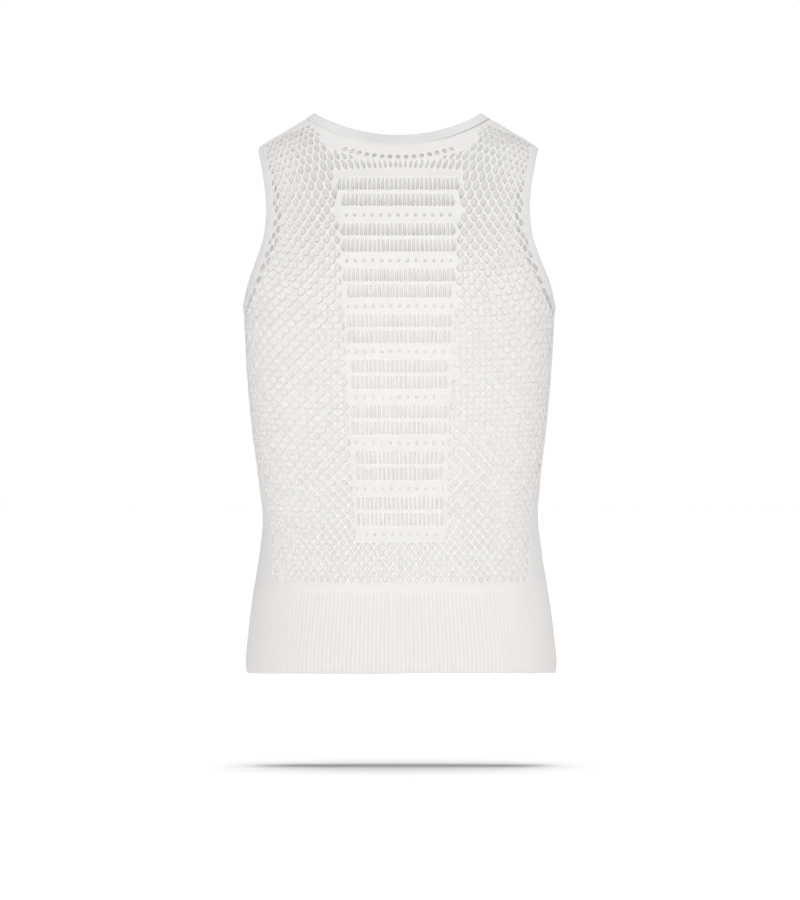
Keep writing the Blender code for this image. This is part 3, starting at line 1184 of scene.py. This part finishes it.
def edge_levels(edge):
    """The outer level along a panel's edge: lower where it goes under a band."""
    points = on_form(edge)
    levels = np.full(len(edge), PLAIN_LEVEL)
    for line in (neck_panel_edge, armhole_panel_edge, mirrored(armhole_panel_edge, 0.0)):
        tree = tree_of(on_form(line))
        near = np.array([tree.find(point)[2] for point in points]) < TUCK_REACH
        levels[near] = TUCKED_LEVEL
    return levels


def offset_points(places, levels):
    """Points of the form moved outwards by their levels."""
    normals = normals_at(places)
    return on_form(places) + normals * np.reshape(levels, (-1, 1))


def inner_loops(loops, places, bulge, level):
    """Points just inside each hole's outline, at a level."""
    found = []
    for loop in loops:
        corners = places[loop]
        narrowed = on_form(corners) - sideways_at(corners) * bulge
        found.append(narrowed + normals_at(corners) * level)
    return np.concatenate(found)


def painted_hole_shades(loops, places):
    """For each corner of each hole, its painted shade: how much it lies on the shaded side, 0 to
    1, times the shade for its height.
    """
    found = []
    for loop in loops:
        corners = places[loop]
        height = corners[:, 1].mean()
        upper = smooth_step(height, *SHADED_SIDE_HEIGHTS)
        side = np.array(LOWER_SHADED_SIDE) * (1 - upper) + np.array(UPPER_SHADED_SIDE) * upper
        plane = plane_points(corners)
        away = unit(plane - plane.mean(axis=0))
        share = np.clip(SHADE_ALL_ROUND + (1 - SHADE_ALL_ROUND) * (away @ side), 0.0, 1.0)
        found.append(share * shade_by_height(height))
    return np.concatenate(found)


def cloth_places(edge, outlines, with_crests):
    """Places in the cloth between holes, and how many of them, the first, are crests."""
    crests = strand_places(edge, outlines, *RIM_POINTS) if with_crests else edge[:0]
    strands = strand_places(edge, outlines, *STRAND_POINTS)
    middles = [outline.mean(axis=0, keepdims=True) for outline in outlines]
    taken = np.concatenate([edge] + outlines + middles + [strands])
    fills = outside_holes(fill_places(edge, taken), outlines)
    return np.concatenate((crests, strands, fills)), len(crests)


def open_shell(edge, outlines):
    """The shape of cloth with open holes.

    Besides its points, normals, map spots and shades it holds what split_shell needs: the
    places; the triangles of the outer side, of the holes' walls with the number of the
    hole that each belongs to, and of the outer edge; and the loops of edge and holes.
    """
    extra, crest_count = cloth_places(edge, outlines, True)
    places, loops, cloth, _ = triangulated(edge, outlines, extra)
    count = len(places)
    crests = np.arange(crest_count) + count - len(extra)
    outer_levels = np.full(count, PLAIN_LEVEL)
    outer_levels[crests] = CREST_LEVEL
    inner_levels = np.full(count, INNER_LEVEL)
    outer_levels[loops[0]] = edge_levels(edge)
    holes = loops[1:]
    rim = np.concatenate(holes)
    outer_levels[rim] = RIM_LEVEL
    inner_levels[rim] = INNER_RIM_LEVEL
    points = np.concatenate((
        offset_points(places, outer_levels),
        offset_points(places, inner_levels),
        inner_loops(holes, places, RIM_BULGE, MIDDLE_LEVEL),
    ))
    spots = plane_points(np.concatenate((places, places, places[rim])))
    rim_shades = painted_hole_shades(holes, places)
    shades = np.zeros(len(points))
    # painted highlight on the crests between holes
    shades[crests] = crest_shade(places[crests, 1])
    # painted shade on one side of each hole's rim, wall and inner rim
    shades[rim] = rim_shades
    shades[rim + count] = rim_shades
    shades[2 * count :] = rim_shades
    walls = []
    wall_holes = []
    start = 2 * count
    for number, loop in enumerate(holes):
        middle = np.arange(start, start + len(loop))
        start += len(loop)
        made = np.concatenate((quads(loop, middle), quads(middle, loop + count)))
        walls.append(made)
        wall_holes.append(np.full(len(made), number))
    walls = np.concatenate(walls)
    return shape_of(
        points,
        np.concatenate((cloth, cloth[:, ::-1] + count, walls)),
        spots,
        shades,
        places=places,
        cloth=cloth,
        walls=walls,
        wall_holes=np.concatenate(wall_holes),
        sides=quads(loops[0] + count, loops[0]),
        edge=loops[0],
        holes=holes,
    )


def split_shell(shell, cloth_pieces, hole_pieces, piece_count):
    """The triangles of each piece of an open shell, closed by walls where pieces meet.

    cloth_pieces and hole_pieces say which piece each triangle and each hole belongs to.
    """
    cloth = shell["cloth"]
    count = len(shell["places"])
    starts = [cloth[:, k] for k in range(3)]
    ends = [cloth[:, (k + 1) % 3] for k in range(3)]
    pieces = [cloth_pieces] * 3
    for number, loop in enumerate(shell["holes"]):
        starts.append(loop)
        ends.append(np.roll(loop, -1))
        pieces.append(np.full(len(loop), hole_pieces[number]))
    starts = np.concatenate(starts)
    ends = np.concatenate(ends)
    pieces = np.concatenate(pieces)
    keys = starts * count + ends
    order = np.argsort(keys)
    keys = keys[order]

    def piece_at(start, end):
        """The piece that has a side running from start to end, or -1."""
        wanted = start * count + end
        spot = np.clip(np.searchsorted(keys, wanted), 0, len(keys) - 1)
        return np.where(keys[spot] == wanted, pieces[order[spot]], -1)

    across = piece_at(ends, starts)
    border = (across >= 0) & (across != pieces)
    a, b = starts[border], ends[border]
    walls = np.concatenate((
        np.stack((a + count, b + count, b), axis=1),
        np.stack((a + count, b, a), axis=1),
    ))
    wall_pieces = np.concatenate((pieces[border], pieces[border]))
    edge = shell["edge"]
    side_pieces = piece_at(edge, np.roll(edge, -1))
    side_pieces = np.concatenate((side_pieces, side_pieces))
    rim_pieces = hole_pieces[shell["wall_holes"]]
    found = []
    for piece in range(piece_count):
        mine = cloth[cloth_pieces == piece]
        found.append(np.concatenate((
            mine,
            mine[:, ::-1] + count,
            shell["walls"][rim_pieces == piece],
            shell["sides"][side_pieces == piece],
            walls[wall_pieces == piece],
        )))
    return found


def closed_shell(edge, outlines):
    """The shape of cloth whose holes have thin floors, with a plain inner side."""
    extra, _ = cloth_places(edge, outlines, False)
    places, loops, cloth, floors = triangulated(edge, outlines, extra)
    inner_places, inner_edge, inner, _ = triangulated(edge, [], fill_places(edge, edge))
    count = len(places)
    holes = loops[1:]
    rim = np.concatenate(holes)
    levels = np.full(count, PLAIN_LEVEL)
    levels[loops[0]] = edge_levels(edge)
    levels[rim] = RIM_LEVEL
    points = np.concatenate((
        offset_points(places, levels),
        inner_loops(holes, places, FLOOR_BULGE, FLOOR_LEVEL),
        offset_points(inner_places, INNER_LEVEL),
    ))
    spots = plane_points(np.concatenate((places, places[rim], inner_places)))
    lowered = np.zeros(count, dtype=np.int64)
    lowered[rim] = count + np.arange(len(rim))
    inner_start = count + len(rim)
    walls = np.concatenate([quads(loop, lowered[loop]) for loop in holes])
    smooth = np.concatenate((cloth, lowered[floors], walls, inner[:, ::-1] + inner_start))
    sides = quads(inner_edge[0] + inner_start, loops[0])
    shades = np.zeros(len(points))
    # painted shade round and on each closed hole's floor, standing in for the depth of an open
    # hole
    shades[rim] = FLOOR_RIM_SHADE
    shades[count:inner_start] = FLOOR_SHADE
    # painted shade on the front's inside, by height, weaker near the side seams
    side_share = smooth_step(np.abs(np.sin(inner_places[:, 0])), *INSIDE_SIDE_RANGE)
    inner_shades = inside_shade(inner_places[:, 1]) * (1.0 - INSIDE_SIDE_LOSS * side_share)
    shades[inner_start:] = inner_shades
    return shape_of(points, smooth, spots, shades, triangles=np.concatenate((smooth, sides)))


def tube_of_rings(layers, closing_is_smooth=True):
    """A shape between successive rings, the last joined to the first.

    Each layer is a ring of points with their map spots and shades. The rings run round
    the cross-section so that each next one lies below the last on the outer side.
    """
    rings, spots, shades = zip(*layers)
    size = len(rings[0])
    made = []
    for number in range(len(rings)):
        upper = np.arange(size) + number * size
        lower = np.arange(size) + (number + 1) % len(rings) * size
        made.append(quads(lower, upper))
    every = np.concatenate(made)
    smooth = every if closing_is_smooth else np.concatenate(made[:-1])
    points, spots, shades = (np.concatenate(parts) for parts in (rings, spots, shades))
    return shape_of(points, smooth, spots, shades, triangles=every)


# ---------------------------------------------------------------------------
# The ribbed hem

RIB_COUNT = 198
RIB_PROFILE = (-0.00042, -0.00010, 0.00008, 0.00012, 0.00008, -0.00010)
# The heights of the hem's rings, from the top of its outer side round to its inner side
ABOVE_RIBS = (-0.5160, -0.5185)
RIB_START = -0.5205
RIB_RISE = (-0.5217, -0.5228)
RIB_FULL = -0.5240
RIB_STEP = 0.0055  # from RIB_FULL down
HEM_INSIDE = (-0.600, -0.580, -0.560, -0.540, -0.5250)
# How far outside the form the hem lies, and its rounded lower corner
RIB_LEVEL = 0.00075
HEM_INNER_LEVEL = -0.00075
HEM_CORNER_RADIUS = 0.0008
HEM_CORNER_ANGLES = (35.0, 70.0, 90.0, 125.0)
# painted shade on the hem's rounded lower corner, where it turns under
HEM_CORNER_SHADE = 0.8
# How much the hem's edge is drawn up
HEM_RISE_LEFT = 0.0013  # on the left half
HEM_RISE_RIGHT = 0.0021  # on the right half
HEM_RISE_CHANGE = (-0.03, 0.03)  # over which distances from the middle it changes
HEM_RISE_SIDES = (0.11, 0.15)  # over which distances it gets less towards the sides
HEM_RISE_SIDE_LOSS = 0.6  # how much of it the sides lack
HEM_RISE_DEPTH = 0.560  # the depth at which the hem starts to be drawn up
HEM_SAMPLES = 1441
RIB_SCALLOP = 0.0006  # how much further down the ribs reach than the hollows between them
# The ribs are pulled flatter towards the sides
RIB_FADE = 0.70
RIB_FADE_REACH = (0.075, 0.145)


def hem_ring(height, stations):
    """Places at equal steps round the form at a height."""
    turns = np.linspace(0.0, 2 * math.pi, HEM_SAMPLES)
    lengths = level_lengths(turns, height)
    wanted = np.arange(stations) / stations * lengths[-1]
    return at_height(np.interp(wanted, lengths, turns), height)


def hem_rise(x):
    """How much the hem's edge is drawn up, a little more on the right than on the left."""
    change = smooth_step(x, *HEM_RISE_CHANGE)
    full = HEM_RISE_LEFT + (HEM_RISE_RIGHT - HEM_RISE_LEFT) * change
    return full * (1 - HEM_RISE_SIDE_LOSS * smooth_step(np.abs(x), *HEM_RISE_SIDES))


def hem_rib():
    """The shape of the ribbed hem."""
    stations = RIB_COUNT * len(RIB_PROFILE)
    profile = np.tile(np.array(RIB_PROFILE), RIB_COUNT)
    # 0 on top of a rib, 1 deep in the groove between ribs: the grooves get painted shade by this
    # share
    painted_shade = (profile.max() - profile) / np.ptp(profile)
    low = HEM_HEIGHT + HEM_CORNER_RADIUS
    heights = [HEM_RIB_TOP, *ABOVE_RIBS, RIB_START, *RIB_RISE, RIB_FULL]
    heights += list(np.arange(RIB_FULL - RIB_STEP, low, -RIB_STEP)) + [low]
    layers = []
    for height in heights:
        places = hem_ring(height, stations)
        swell = smooth_step(-height, -RIB_START, -RIB_FULL)
        x = on_form(places)[:, 0]
        depth = 1 - RIB_FADE * smooth_step(np.abs(x), *RIB_FADE_REACH)
        base = PLAIN_LEVEL + (RIB_LEVEL - PLAIN_LEVEL) * swell
        ring = offset_points(places, base + profile * swell * depth)
        layers.append((ring, plane_points(places), painted_shade * swell * depth))
    for angle in HEM_CORNER_ANGLES:
        lean = math.radians(angle)
        places = hem_ring(low - HEM_CORNER_RADIUS * math.sin(lean), stations)
        level = RIB_LEVEL * math.cos(lean) + profile * max(math.cos(lean), 0.0)
        ring = offset_points(places, level)
        ring[:, 2] -= RIB_SCALLOP * math.sin(lean) * (1 - painted_shade)
        layers.append((ring, plane_points(places), np.full(stations, HEM_CORNER_SHADE)))
    for height in (low, *HEM_INSIDE, HEM_RIB_TOP):
        places = hem_ring(height, stations)
        level = HEM_INNER_LEVEL if height < RIB_FULL else INNER_LEVEL
        ring = offset_points(places, level)
        layers.append((ring, plane_points(places), np.zeros(stations)))
    for ring, _, _ in layers:
        low_share = smooth_step(-ring[:, 2], HEM_RISE_DEPTH, -HEM_HEIGHT)
        ring[:, 2] += low_share * hem_rise(ring[:, 0])
    return tube_of_rings(layers, closing_is_smooth=False)


# ---------------------------------------------------------------------------
# The bands

NECK_PROFILE = (  # share of the width from the opening's edge, level in millimetres
    (0.000, 0.00),
    (0.020, 0.55),
    (0.080, 0.88),
    (0.250, 1.00),
    (0.500, 1.03),
    (0.800, 1.00),
    (0.930, 0.90),
    (0.980, 0.70),
    (1.000, 0.35),
    (1.000, -0.70),
    (0.700, -0.85),
    (0.300, -0.90),
    (0.080, -0.80),
    (0.020, -0.50),
)
# The neck band gets painted shade near the middle plane, where more light falls on it, up to
# these distances from it
NECK_MIDDLE_SHADE = 1.7
NECK_MIDDLE_REACH = (0.025, 0.085)
# The seam under the neck band, with a painted highlight along it on the left and a painted shadow
# on the right
SEAM_START = 0.97  # the share of the width where it starts
SEAM_HIGHLIGHT_SHADE = -0.5  # a painted highlight along the seam, below 0
SEAM_SHADE = 9.0  # the painted shadow added to that on the right
SEAM_SHADOW_RANGE = (0.02, 0.075)  # over which distances from the middle that begins
ARMHOLE_PROFILE = (  # as the neck band's
    (0.000, 0.00),
    (0.025, 0.45),
    (0.090, 0.70),
    (0.300, 0.78),
    (0.600, 0.78),
    (0.900, 0.70),
    (0.970, 0.58),
    (1.000, 0.38),
    (1.000, -0.65),
    (0.700, -0.80),
    (0.300, -0.85),
    (0.090, -0.75),
    (0.025, -0.45),
)


def band(loop, width, profile, middle_shade=0.0):
    """The shape of a band round an opening.

    With a middle_shade it is the neck's: even on both sides, darker by that painted shade near
    the middle plane, and with a painted shadow and highlight along its seam.
    """
    layers = []
    around = path_lengths(on_form(np.concatenate((loop, loop[:1]))))[:-1]
    for share, level in profile:
        line = moved_into_cloth(loop, width * share) if share else loop
        if middle_shade:
            line = even_neck_line(line)
        ring = offset_points(line, level / 1000)
        spots = np.stack((around, np.full(len(line), -width * share)), axis=1)
        # painted shade on the neck band near the middle plane
        tone = middle_shade * (1 - smooth_step(np.abs(ring[:, 0]), *NECK_MIDDLE_REACH))
        # painted highlight along the seam, and a painted shadow on its right
        if share > SEAM_START and middle_shade:
            seam_shadow_share = smooth_step(ring[:, 0], *SEAM_SHADOW_RANGE)
            tone = tone + SEAM_SHADE * seam_shadow_share + SEAM_HIGHLIGHT_SHADE
        layers.append((ring, spots, tone))
    return tube_of_rings(layers)


# ---------------------------------------------------------------------------
# Materials

WALE_PITCH = 0.0009  # the width of the knit's columns of stitches
STITCH_SLANT = 1.1  # how far a stitch's V slants, in rows of stitches
STITCH_BASE = 1.6  # what is added to the wave of the rows
STITCH_LIFT = 0.3  # what the sum is multiplied by
TINT_SCALE = 7.0  # how many slow changes of tint there are to a metre
FUZZ_SCALE = 420.0  # how many threads of fuzz there are to a metre
FUZZ_SHARE = 0.5  # how much the fuzz adds to the knit's height
LOW_TONE = 0.970  # how much of its colour the lowest part of the knit has, as painted shade between the stitches
KNIT_TONE = 0.035  # how much the knit's height adds to that, lightening the stitches' tops
BUMP_DEPTH = 0.0002
SHINE = 0.08


class Nodes:
    """A short way to lay out the nodes of a material or of the world."""

    def __init__(self, owner):
        owner.use_nodes = True
        self.tree = owner.node_tree
        self.tree.nodes.clear()

    def add(self, kind, links=(), **values):
        """A node with some of its settings and inputs, and links to its inputs."""
        node = self.tree.nodes.new(kind)
        for name, value in values.items():
            if hasattr(node, name):
                setattr(node, name, value)
            else:
                node.inputs[name.replace("_", " ")].default_value = value
        for socket, source in dict(links).items():
            self.tree.links.new(source, node.inputs[socket])
        return node

    def math(self, operation, first, second=None):
        """The result of a sum on two values, each a socket or a number."""
        node = self.tree.nodes.new("ShaderNodeMath")
        node.operation = operation
        for number, value in enumerate((first, second)):
            if value is None:
                continue
            if isinstance(value, (int, float)):
                node.inputs[number].default_value = value
            else:
                self.tree.links.new(value, node.inputs[number])
        return node.outputs[0]

    def noise(self, place, scale, detail):
        """Smooth noise, 0 to 1."""
        node = self.add("ShaderNodeTexNoise", {"Vector": place}, Scale=scale, Detail=detail)
        return node.outputs["Fac"]

    def between(self, first, second, share):
        """A colour between two, by a share."""
        node = self.add("ShaderNodeMix", {"Factor": share}, data_type="RGBA")
        node.inputs["A"].default_value = (*first, 1.0)
        node.inputs["B"].default_value = (*second, 1.0)
        return node.outputs["Result"]


def knit_height(nodes, wale_pitch, course_pitch):
    """The height of a plain knit: columns of small stitches shaped like a V."""
    place = nodes.add("ShaderNodeUVMap", uv_map=CLOTH_MAP).outputs["UV"]
    split = nodes.add("ShaderNodeSeparateXYZ", {"Vector": place})
    across = nodes.math("DIVIDE", split.outputs["X"], wale_pitch)
    along = nodes.math("DIVIDE", split.outputs["Y"], course_pitch)
    fraction = nodes.math("FRACT", across)
    from_middle = nodes.math("ABSOLUTE", nodes.math("SUBTRACT", fraction, 0.5))
    slanted = nodes.math("SUBTRACT", along, nodes.math("MULTIPLY", from_middle, STITCH_SLANT))
    course = nodes.math("SINE", nodes.math("MULTIPLY", slanted, 2 * math.pi))
    wale = nodes.math("SINE", nodes.math("MULTIPLY", fraction, math.pi))
    lifted = nodes.math("MULTIPLY", nodes.math("ADD", course, STITCH_BASE), STITCH_LIFT)
    return nodes.math("MULTIPLY", wale, lifted)


def cloth_material(name, colour, warm_colour, roughness, glow, bump, course_pitch, shade_depth):
    """White knitted cloth; glow is the share of light that it lets through."""
    material = bpy.data.materials.new(name)
    nodes = Nodes(material)
    place = nodes.add("ShaderNodeTexCoord").outputs["Object"]
    tint = nodes.between(colour, warm_colour, nodes.noise(place, TINT_SCALE, 2.0))
    fuzz = nodes.math("MULTIPLY", nodes.noise(place, FUZZ_SCALE, 3.0), FUZZ_SHARE)
    height = nodes.math("ADD", knit_height(nodes, WALE_PITCH, course_pitch), fuzz)
    # the shade attribute is painted shade, and painted highlight where it is below 0
    painted_shade = nodes.add("ShaderNodeAttribute", attribute_name=SHADE).outputs["Fac"]
    tone_after_shade = nodes.math("SUBTRACT", LOW_TONE, nodes.math("MULTIPLY", painted_shade, shade_depth))
    # the knit is darker in its low parts: painted shade between the stitches
    shade = nodes.math("ADD", nodes.math("MULTIPLY", height, KNIT_TONE), tone_after_shade)
    coloured = nodes.add(
        "ShaderNodeVectorMath", {0: tint, "Scale": shade}, operation="SCALE"
    ).outputs["Vector"]
    raised = nodes.add(
        "ShaderNodeBump", {"Height": height}, Strength=bump, Distance=BUMP_DEPTH
    ).outputs["Normal"]
    surface = nodes.add(
        "ShaderNodeBsdfPrincipled",
        {"Base Color": coloured, "Normal": raised},
        Roughness=roughness,
        Specular_IOR_Level=SHINE,
    )
    through = nodes.add("ShaderNodeBsdfTranslucent", {"Color": coloured})
    mixed = nodes.add("ShaderNodeMixShader", {1: surface.outputs[0], 2: through.outputs[0]})
    mixed.inputs[0].default_value = glow
    nodes.add("ShaderNodeOutputMaterial", {"Surface": mixed.outputs[0]})
    return material


WHITE = (0.868, 0.859, 0.850)
WARM_WHITE = (0.874, 0.855, 0.841)
RIB_WHITE = (0.856, 0.828, 0.815)
BAND_WHITE = (0.756, 0.748, 0.740)
CLOTHS = (  # name, colour, warm colour, roughness, glow, bump, course pitch, shade depth
    ("mesh_cloth", WHITE, WARM_WHITE, 0.90, 0.20, 0.35, 0.0007, 0.34),
    ("front_cloth", WHITE, WARM_WHITE, 0.90, 0.00, 0.35, 0.0007, 0.30),
    ("rib_cloth", RIB_WHITE, WARM_WHITE, 0.90, 0.12, 0.35, 0.0010, 0.10),
    ("band_cloth", BAND_WHITE, WHITE, 0.85, 0.12, 0.25, 0.0008, 0.06),
)
mesh_cloth, front_cloth, rib_cloth, band_cloth = (cloth_material(*cloth) for cloth in CLOTHS)

# ---------------------------------------------------------------------------
# The garment

back_edge, back_outlines = back_layout()
back = open_shell(back_edge, back_outlines)
COLUMN_PIECE, RIGHT_PIECE, LEFT_PIECE = 0, 1, 2
# How far over, under and beside the column's outlines its piece reaches
COLUMN_PIECE_ABOVE = 0.003
COLUMN_PIECE_BELOW = 0.0005
COLUMN_PIECE_BESIDE = 0.0015


def back_piece_of(places):
    """Which piece of the back each place belongs to."""
    heights = places[:, 1]
    x = half_width(heights) * np.sin(places[:, 0])
    under_top = heights < COLUMN_TOP + COLUMN_PIECE_ABOVE
    over_bottom = heights > COLUMN_BOTTOM - COLUMN_PIECE_BELOW
    beside = np.abs(x) < column_half_width(heights) + COLUMN_PIECE_BESIDE
    in_column = under_top & over_bottom & beside
    return np.where(in_column, COLUMN_PIECE, np.where(x >= 0, RIGHT_PIECE, LEFT_PIECE))


hole_centres = np.array([back["places"][loop].mean(axis=0) for loop in back["holes"]])
face_centres = back["places"][back["cloth"]].mean(axis=1)
back_names = ("back_openwork", "back_net_right", "back_net_left")
split = split_shell(
    back, back_piece_of(face_centres), back_piece_of(hole_centres), len(back_names)
)
back_pieces = []
for piece_name, triangles in zip(back_names, split):
    piece = add_piece(piece_name, back, triangles, mesh_cloth)
    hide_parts("back_panel")
    back_pieces.append(piece)

shape = closed_shell(*front_layout())
front = add_piece("front_net", shape, shape["triangles"], front_cloth)
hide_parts("front_panel")

shape = hem_rib()
hem = add_piece("hem_ribs", shape, shape["triangles"], rib_cloth)
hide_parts("hem_rib")

shape = band(neck, NECK_BAND_WIDTH, NECK_PROFILE, NECK_MIDDLE_SHADE)
neck_trim = add_piece("neck_trim", shape, shape["triangles"], band_cloth)
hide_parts("neck_band")

armhole_trims = []
for side_name, loop in (("right", armhole), ("left", mirrored(armhole, 0.0))):
    shape = band(loop, ARMHOLE_BAND_WIDTH, ARMHOLE_PROFILE)
    trim = add_piece(
        "armhole_trim_" + side_name, shape, shape["triangles"], band_cloth
    )
    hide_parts("armhole_band_" + side_name)
    armhole_trims.append(trim)

# ---------------------------------------------------------------------------
# Floor, light and camera

FLOOR_HEIGHT = -0.711
FLOOR_REACH = 60.0
FLOOR_TONES = (0.368, 0.382)
FLOOR_GRAIN_SCALE = 3.0
BACKDROP_STRENGTH = 1.02
CLIP_END = 200.0
VIEW_CENTRE = (0.0027, -0.367)  # across, up
CAMERA_DISTANCE = 13.0
FRAME_HEIGHT = 0.982  # how much the camera sees at the garment's distance, up and down
SENSOR = 36.0
# The light all round: its mean, how it grows along each axis, and how much of it dark
# cards take away on both sides
LIGHT_LEVEL = 0.71
LIGHT_LEAN = (0.02, -0.56, 0.12)
SIDE_CARDS = 0.58
# The row of wide lamps over the floor, which light nothing else: how wide each looks,
# in degrees, and its tilt in degrees and strength
LAMP_SPREAD = 36.0
OVERHEAD_LAMPS = (
    (-34.0, 0.82),
    (-28.0, 0.82),
    (-22.0, 0.95),
    (-15.0, 0.95),
    (-8.0, 0.75),
    (6.0, 0.95),
    (12.0, 0.95),
    (18.0, 0.62),
    (26.0, 0.40),
)
# The lamps round the garment, which don't light the floor: name, place, size, power
ROUND_LAMPS = (
    ("key", (0.5, -4.9, -0.5), (1.2, 1.2), 64.0),
    ("top", (0.0, 1.4, 3.1), (1.5, 1.5), 42.0),
    ("back", (0.0, 3.2, -0.40), (2.6, 1.2), 45.0),
    ("back_right", (2.8, 2.2, -0.40), (1.2, 1.2), 16.0),
    ("back_left", (-2.8, 2.2, -0.40), (1.2, 1.2), 20.0),
)
# Two more lamps light only the front, and only the floor casts their shadows. They stand
# on the side of the back and brighten the front's inside, which shows through the net
INSIDE_LAMPS = (
    ("inside_right", (2.9, -3.8, -0.40), (1.2, 1.2), 136.0),
    ("inside_left", (-2.9, -3.8, -0.40), (1.2, 1.2), 136.0),
)
LAMP_TARGET = (0.0, 0.0, -0.38)


def floor_piece():
    """A wide pale floor, slightly uneven in tone."""
    mesh = bpy.data.meshes.new("floor")
    reach = FLOOR_REACH
    corners = [(-reach, -reach), (reach, -reach), (reach, reach), (-reach, reach)]
    mesh.from_pydata([(x, y, FLOOR_HEIGHT) for x, y in corners], [], [(0, 1, 2, 3)])
    floor = into_scene(bpy.data.objects.new("floor", mesh))
    material = bpy.data.materials.new("floor_paint")
    nodes = Nodes(material)
    place = nodes.add("ShaderNodeTexCoord").outputs["Object"]
    low_tone, high_tone = FLOOR_TONES
    grain = nodes.noise(place, FLOOR_GRAIN_SCALE, 2.0)
    tone = nodes.between((low_tone,) * 3, (high_tone,) * 3, grain)
    surface = nodes.add("ShaderNodeBsdfPrincipled", {"Base Color": tone}, Roughness=0.9)
    nodes.add("ShaderNodeOutputMaterial", {"Surface": surface.outputs[0]})
    mesh.materials.append(material)
    return floor


def lamp_object(name, light, lit):
    """A lamp that lights only the objects of one collection."""
    lamp = into_scene(bpy.data.objects.new(name, light))
    lamp.light_linking.receiver_collection = lit
    return lamp


def area_lamp(name, place, size, power, lit, shading=None):
    """A flat lamp aimed at the garment; if shading is given, only that casts its shadows."""
    light = bpy.data.lights.new(name, "AREA")
    light.shape = "RECTANGLE"
    light.size, light.size_y = size
    light.energy = power
    lamp = lamp_object(name, light, lit)
    lamp.location = place
    aim = Vector(LAMP_TARGET) - Vector(place)
    lamp.rotation_euler = aim.to_track_quat("-Z", "Y").to_euler()
    lamp.light_linking.blocker_collection = shading


def overhead_lamp(tilt, strength, lit):
    """A wide lamp high over the floor, tilted from the upright."""
    light = bpy.data.lights.new("overhead", "SUN")
    light.energy = strength
    light.angle = math.radians(LAMP_SPREAD)
    lamp = lamp_object("overhead", light, lit)
    lamp.rotation_euler = (math.radians(tilt), 0.0, 0.0)


def studio_world():
    """Soft white light, stronger from the side of the back, before a white backdrop."""
    world = bpy.data.worlds.new("studio")
    nodes = Nodes(world)
    towards = nodes.add("ShaderNodeTexCoord").outputs["Generated"]
    lean = nodes.add("ShaderNodeVectorMath", {0: towards}, operation="DOT_PRODUCT")
    lean.inputs[1].default_value = LIGHT_LEAN
    sideways = nodes.add("ShaderNodeSeparateXYZ", {"Vector": towards}).outputs["X"]
    cards = nodes.math("MULTIPLY", nodes.math("MULTIPLY", sideways, sideways), SIDE_CARDS)
    all_round = nodes.math("SUBTRACT", LIGHT_LEVEL, cards)
    strength = nodes.math("MAXIMUM", nodes.math("ADD", lean.outputs["Value"], all_round), 0.0)
    seen = nodes.add("ShaderNodeLightPath").outputs["Is Camera Ray"]
    white = (1.0, 1.0, 1.0, 1.0)
    fill = nodes.add("ShaderNodeBackground", {"Strength": strength}, Color=white)
    shown = nodes.add("ShaderNodeBackground", Color=white, Strength=BACKDROP_STRENGTH)
    mixed = nodes.add("ShaderNodeMixShader", {0: seen, 1: fill.outputs[0], 2: shown.outputs[0]})
    nodes.add("ShaderNodeOutputWorld", {"Surface": mixed.outputs[0]})
    return world


bpy.context.scene.world = studio_world()
floor_only = bpy.data.collections.new("floor_only")
floor_only.objects.link(floor_piece())
for tilt, strength in OVERHEAD_LAMPS:
    overhead_lamp(tilt, strength, floor_only)

garment_only = bpy.data.collections.new("garment_only")
for piece in [*back_pieces, front, hem, neck_trim, *armhole_trims]:
    garment_only.objects.link(piece)
for lamp_name, place, size, power in ROUND_LAMPS:
    area_lamp(lamp_name, place, size, power, garment_only)

front_only = bpy.data.collections.new("front_only")
front_only.objects.link(front)
for lamp_name, place, size, power in INSIDE_LAMPS:
    area_lamp(lamp_name, place, size, power, front_only, floor_only)

camera_data = bpy.data.cameras.new("camera")
camera_data.sensor_width = SENSOR
camera_data.sensor_height = SENSOR
camera_data.sensor_fit = "AUTO"
camera_data.lens = SENSOR * CAMERA_DISTANCE / FRAME_HEIGHT
camera_data.clip_end = CLIP_END
camera = into_scene(bpy.data.objects.new("camera", camera_data))
camera.location = (VIEW_CENTRE[0], -CAMERA_DISTANCE, VIEW_CENTRE[1])
camera.rotation_euler = (QUARTER_TURN, 0.0, 0.0)
bpy.context.scene.camera = camera

bpy.context.scene.view_settings.view_transform = "Standard"
bpy.context.scene.view_settings.look = "None"
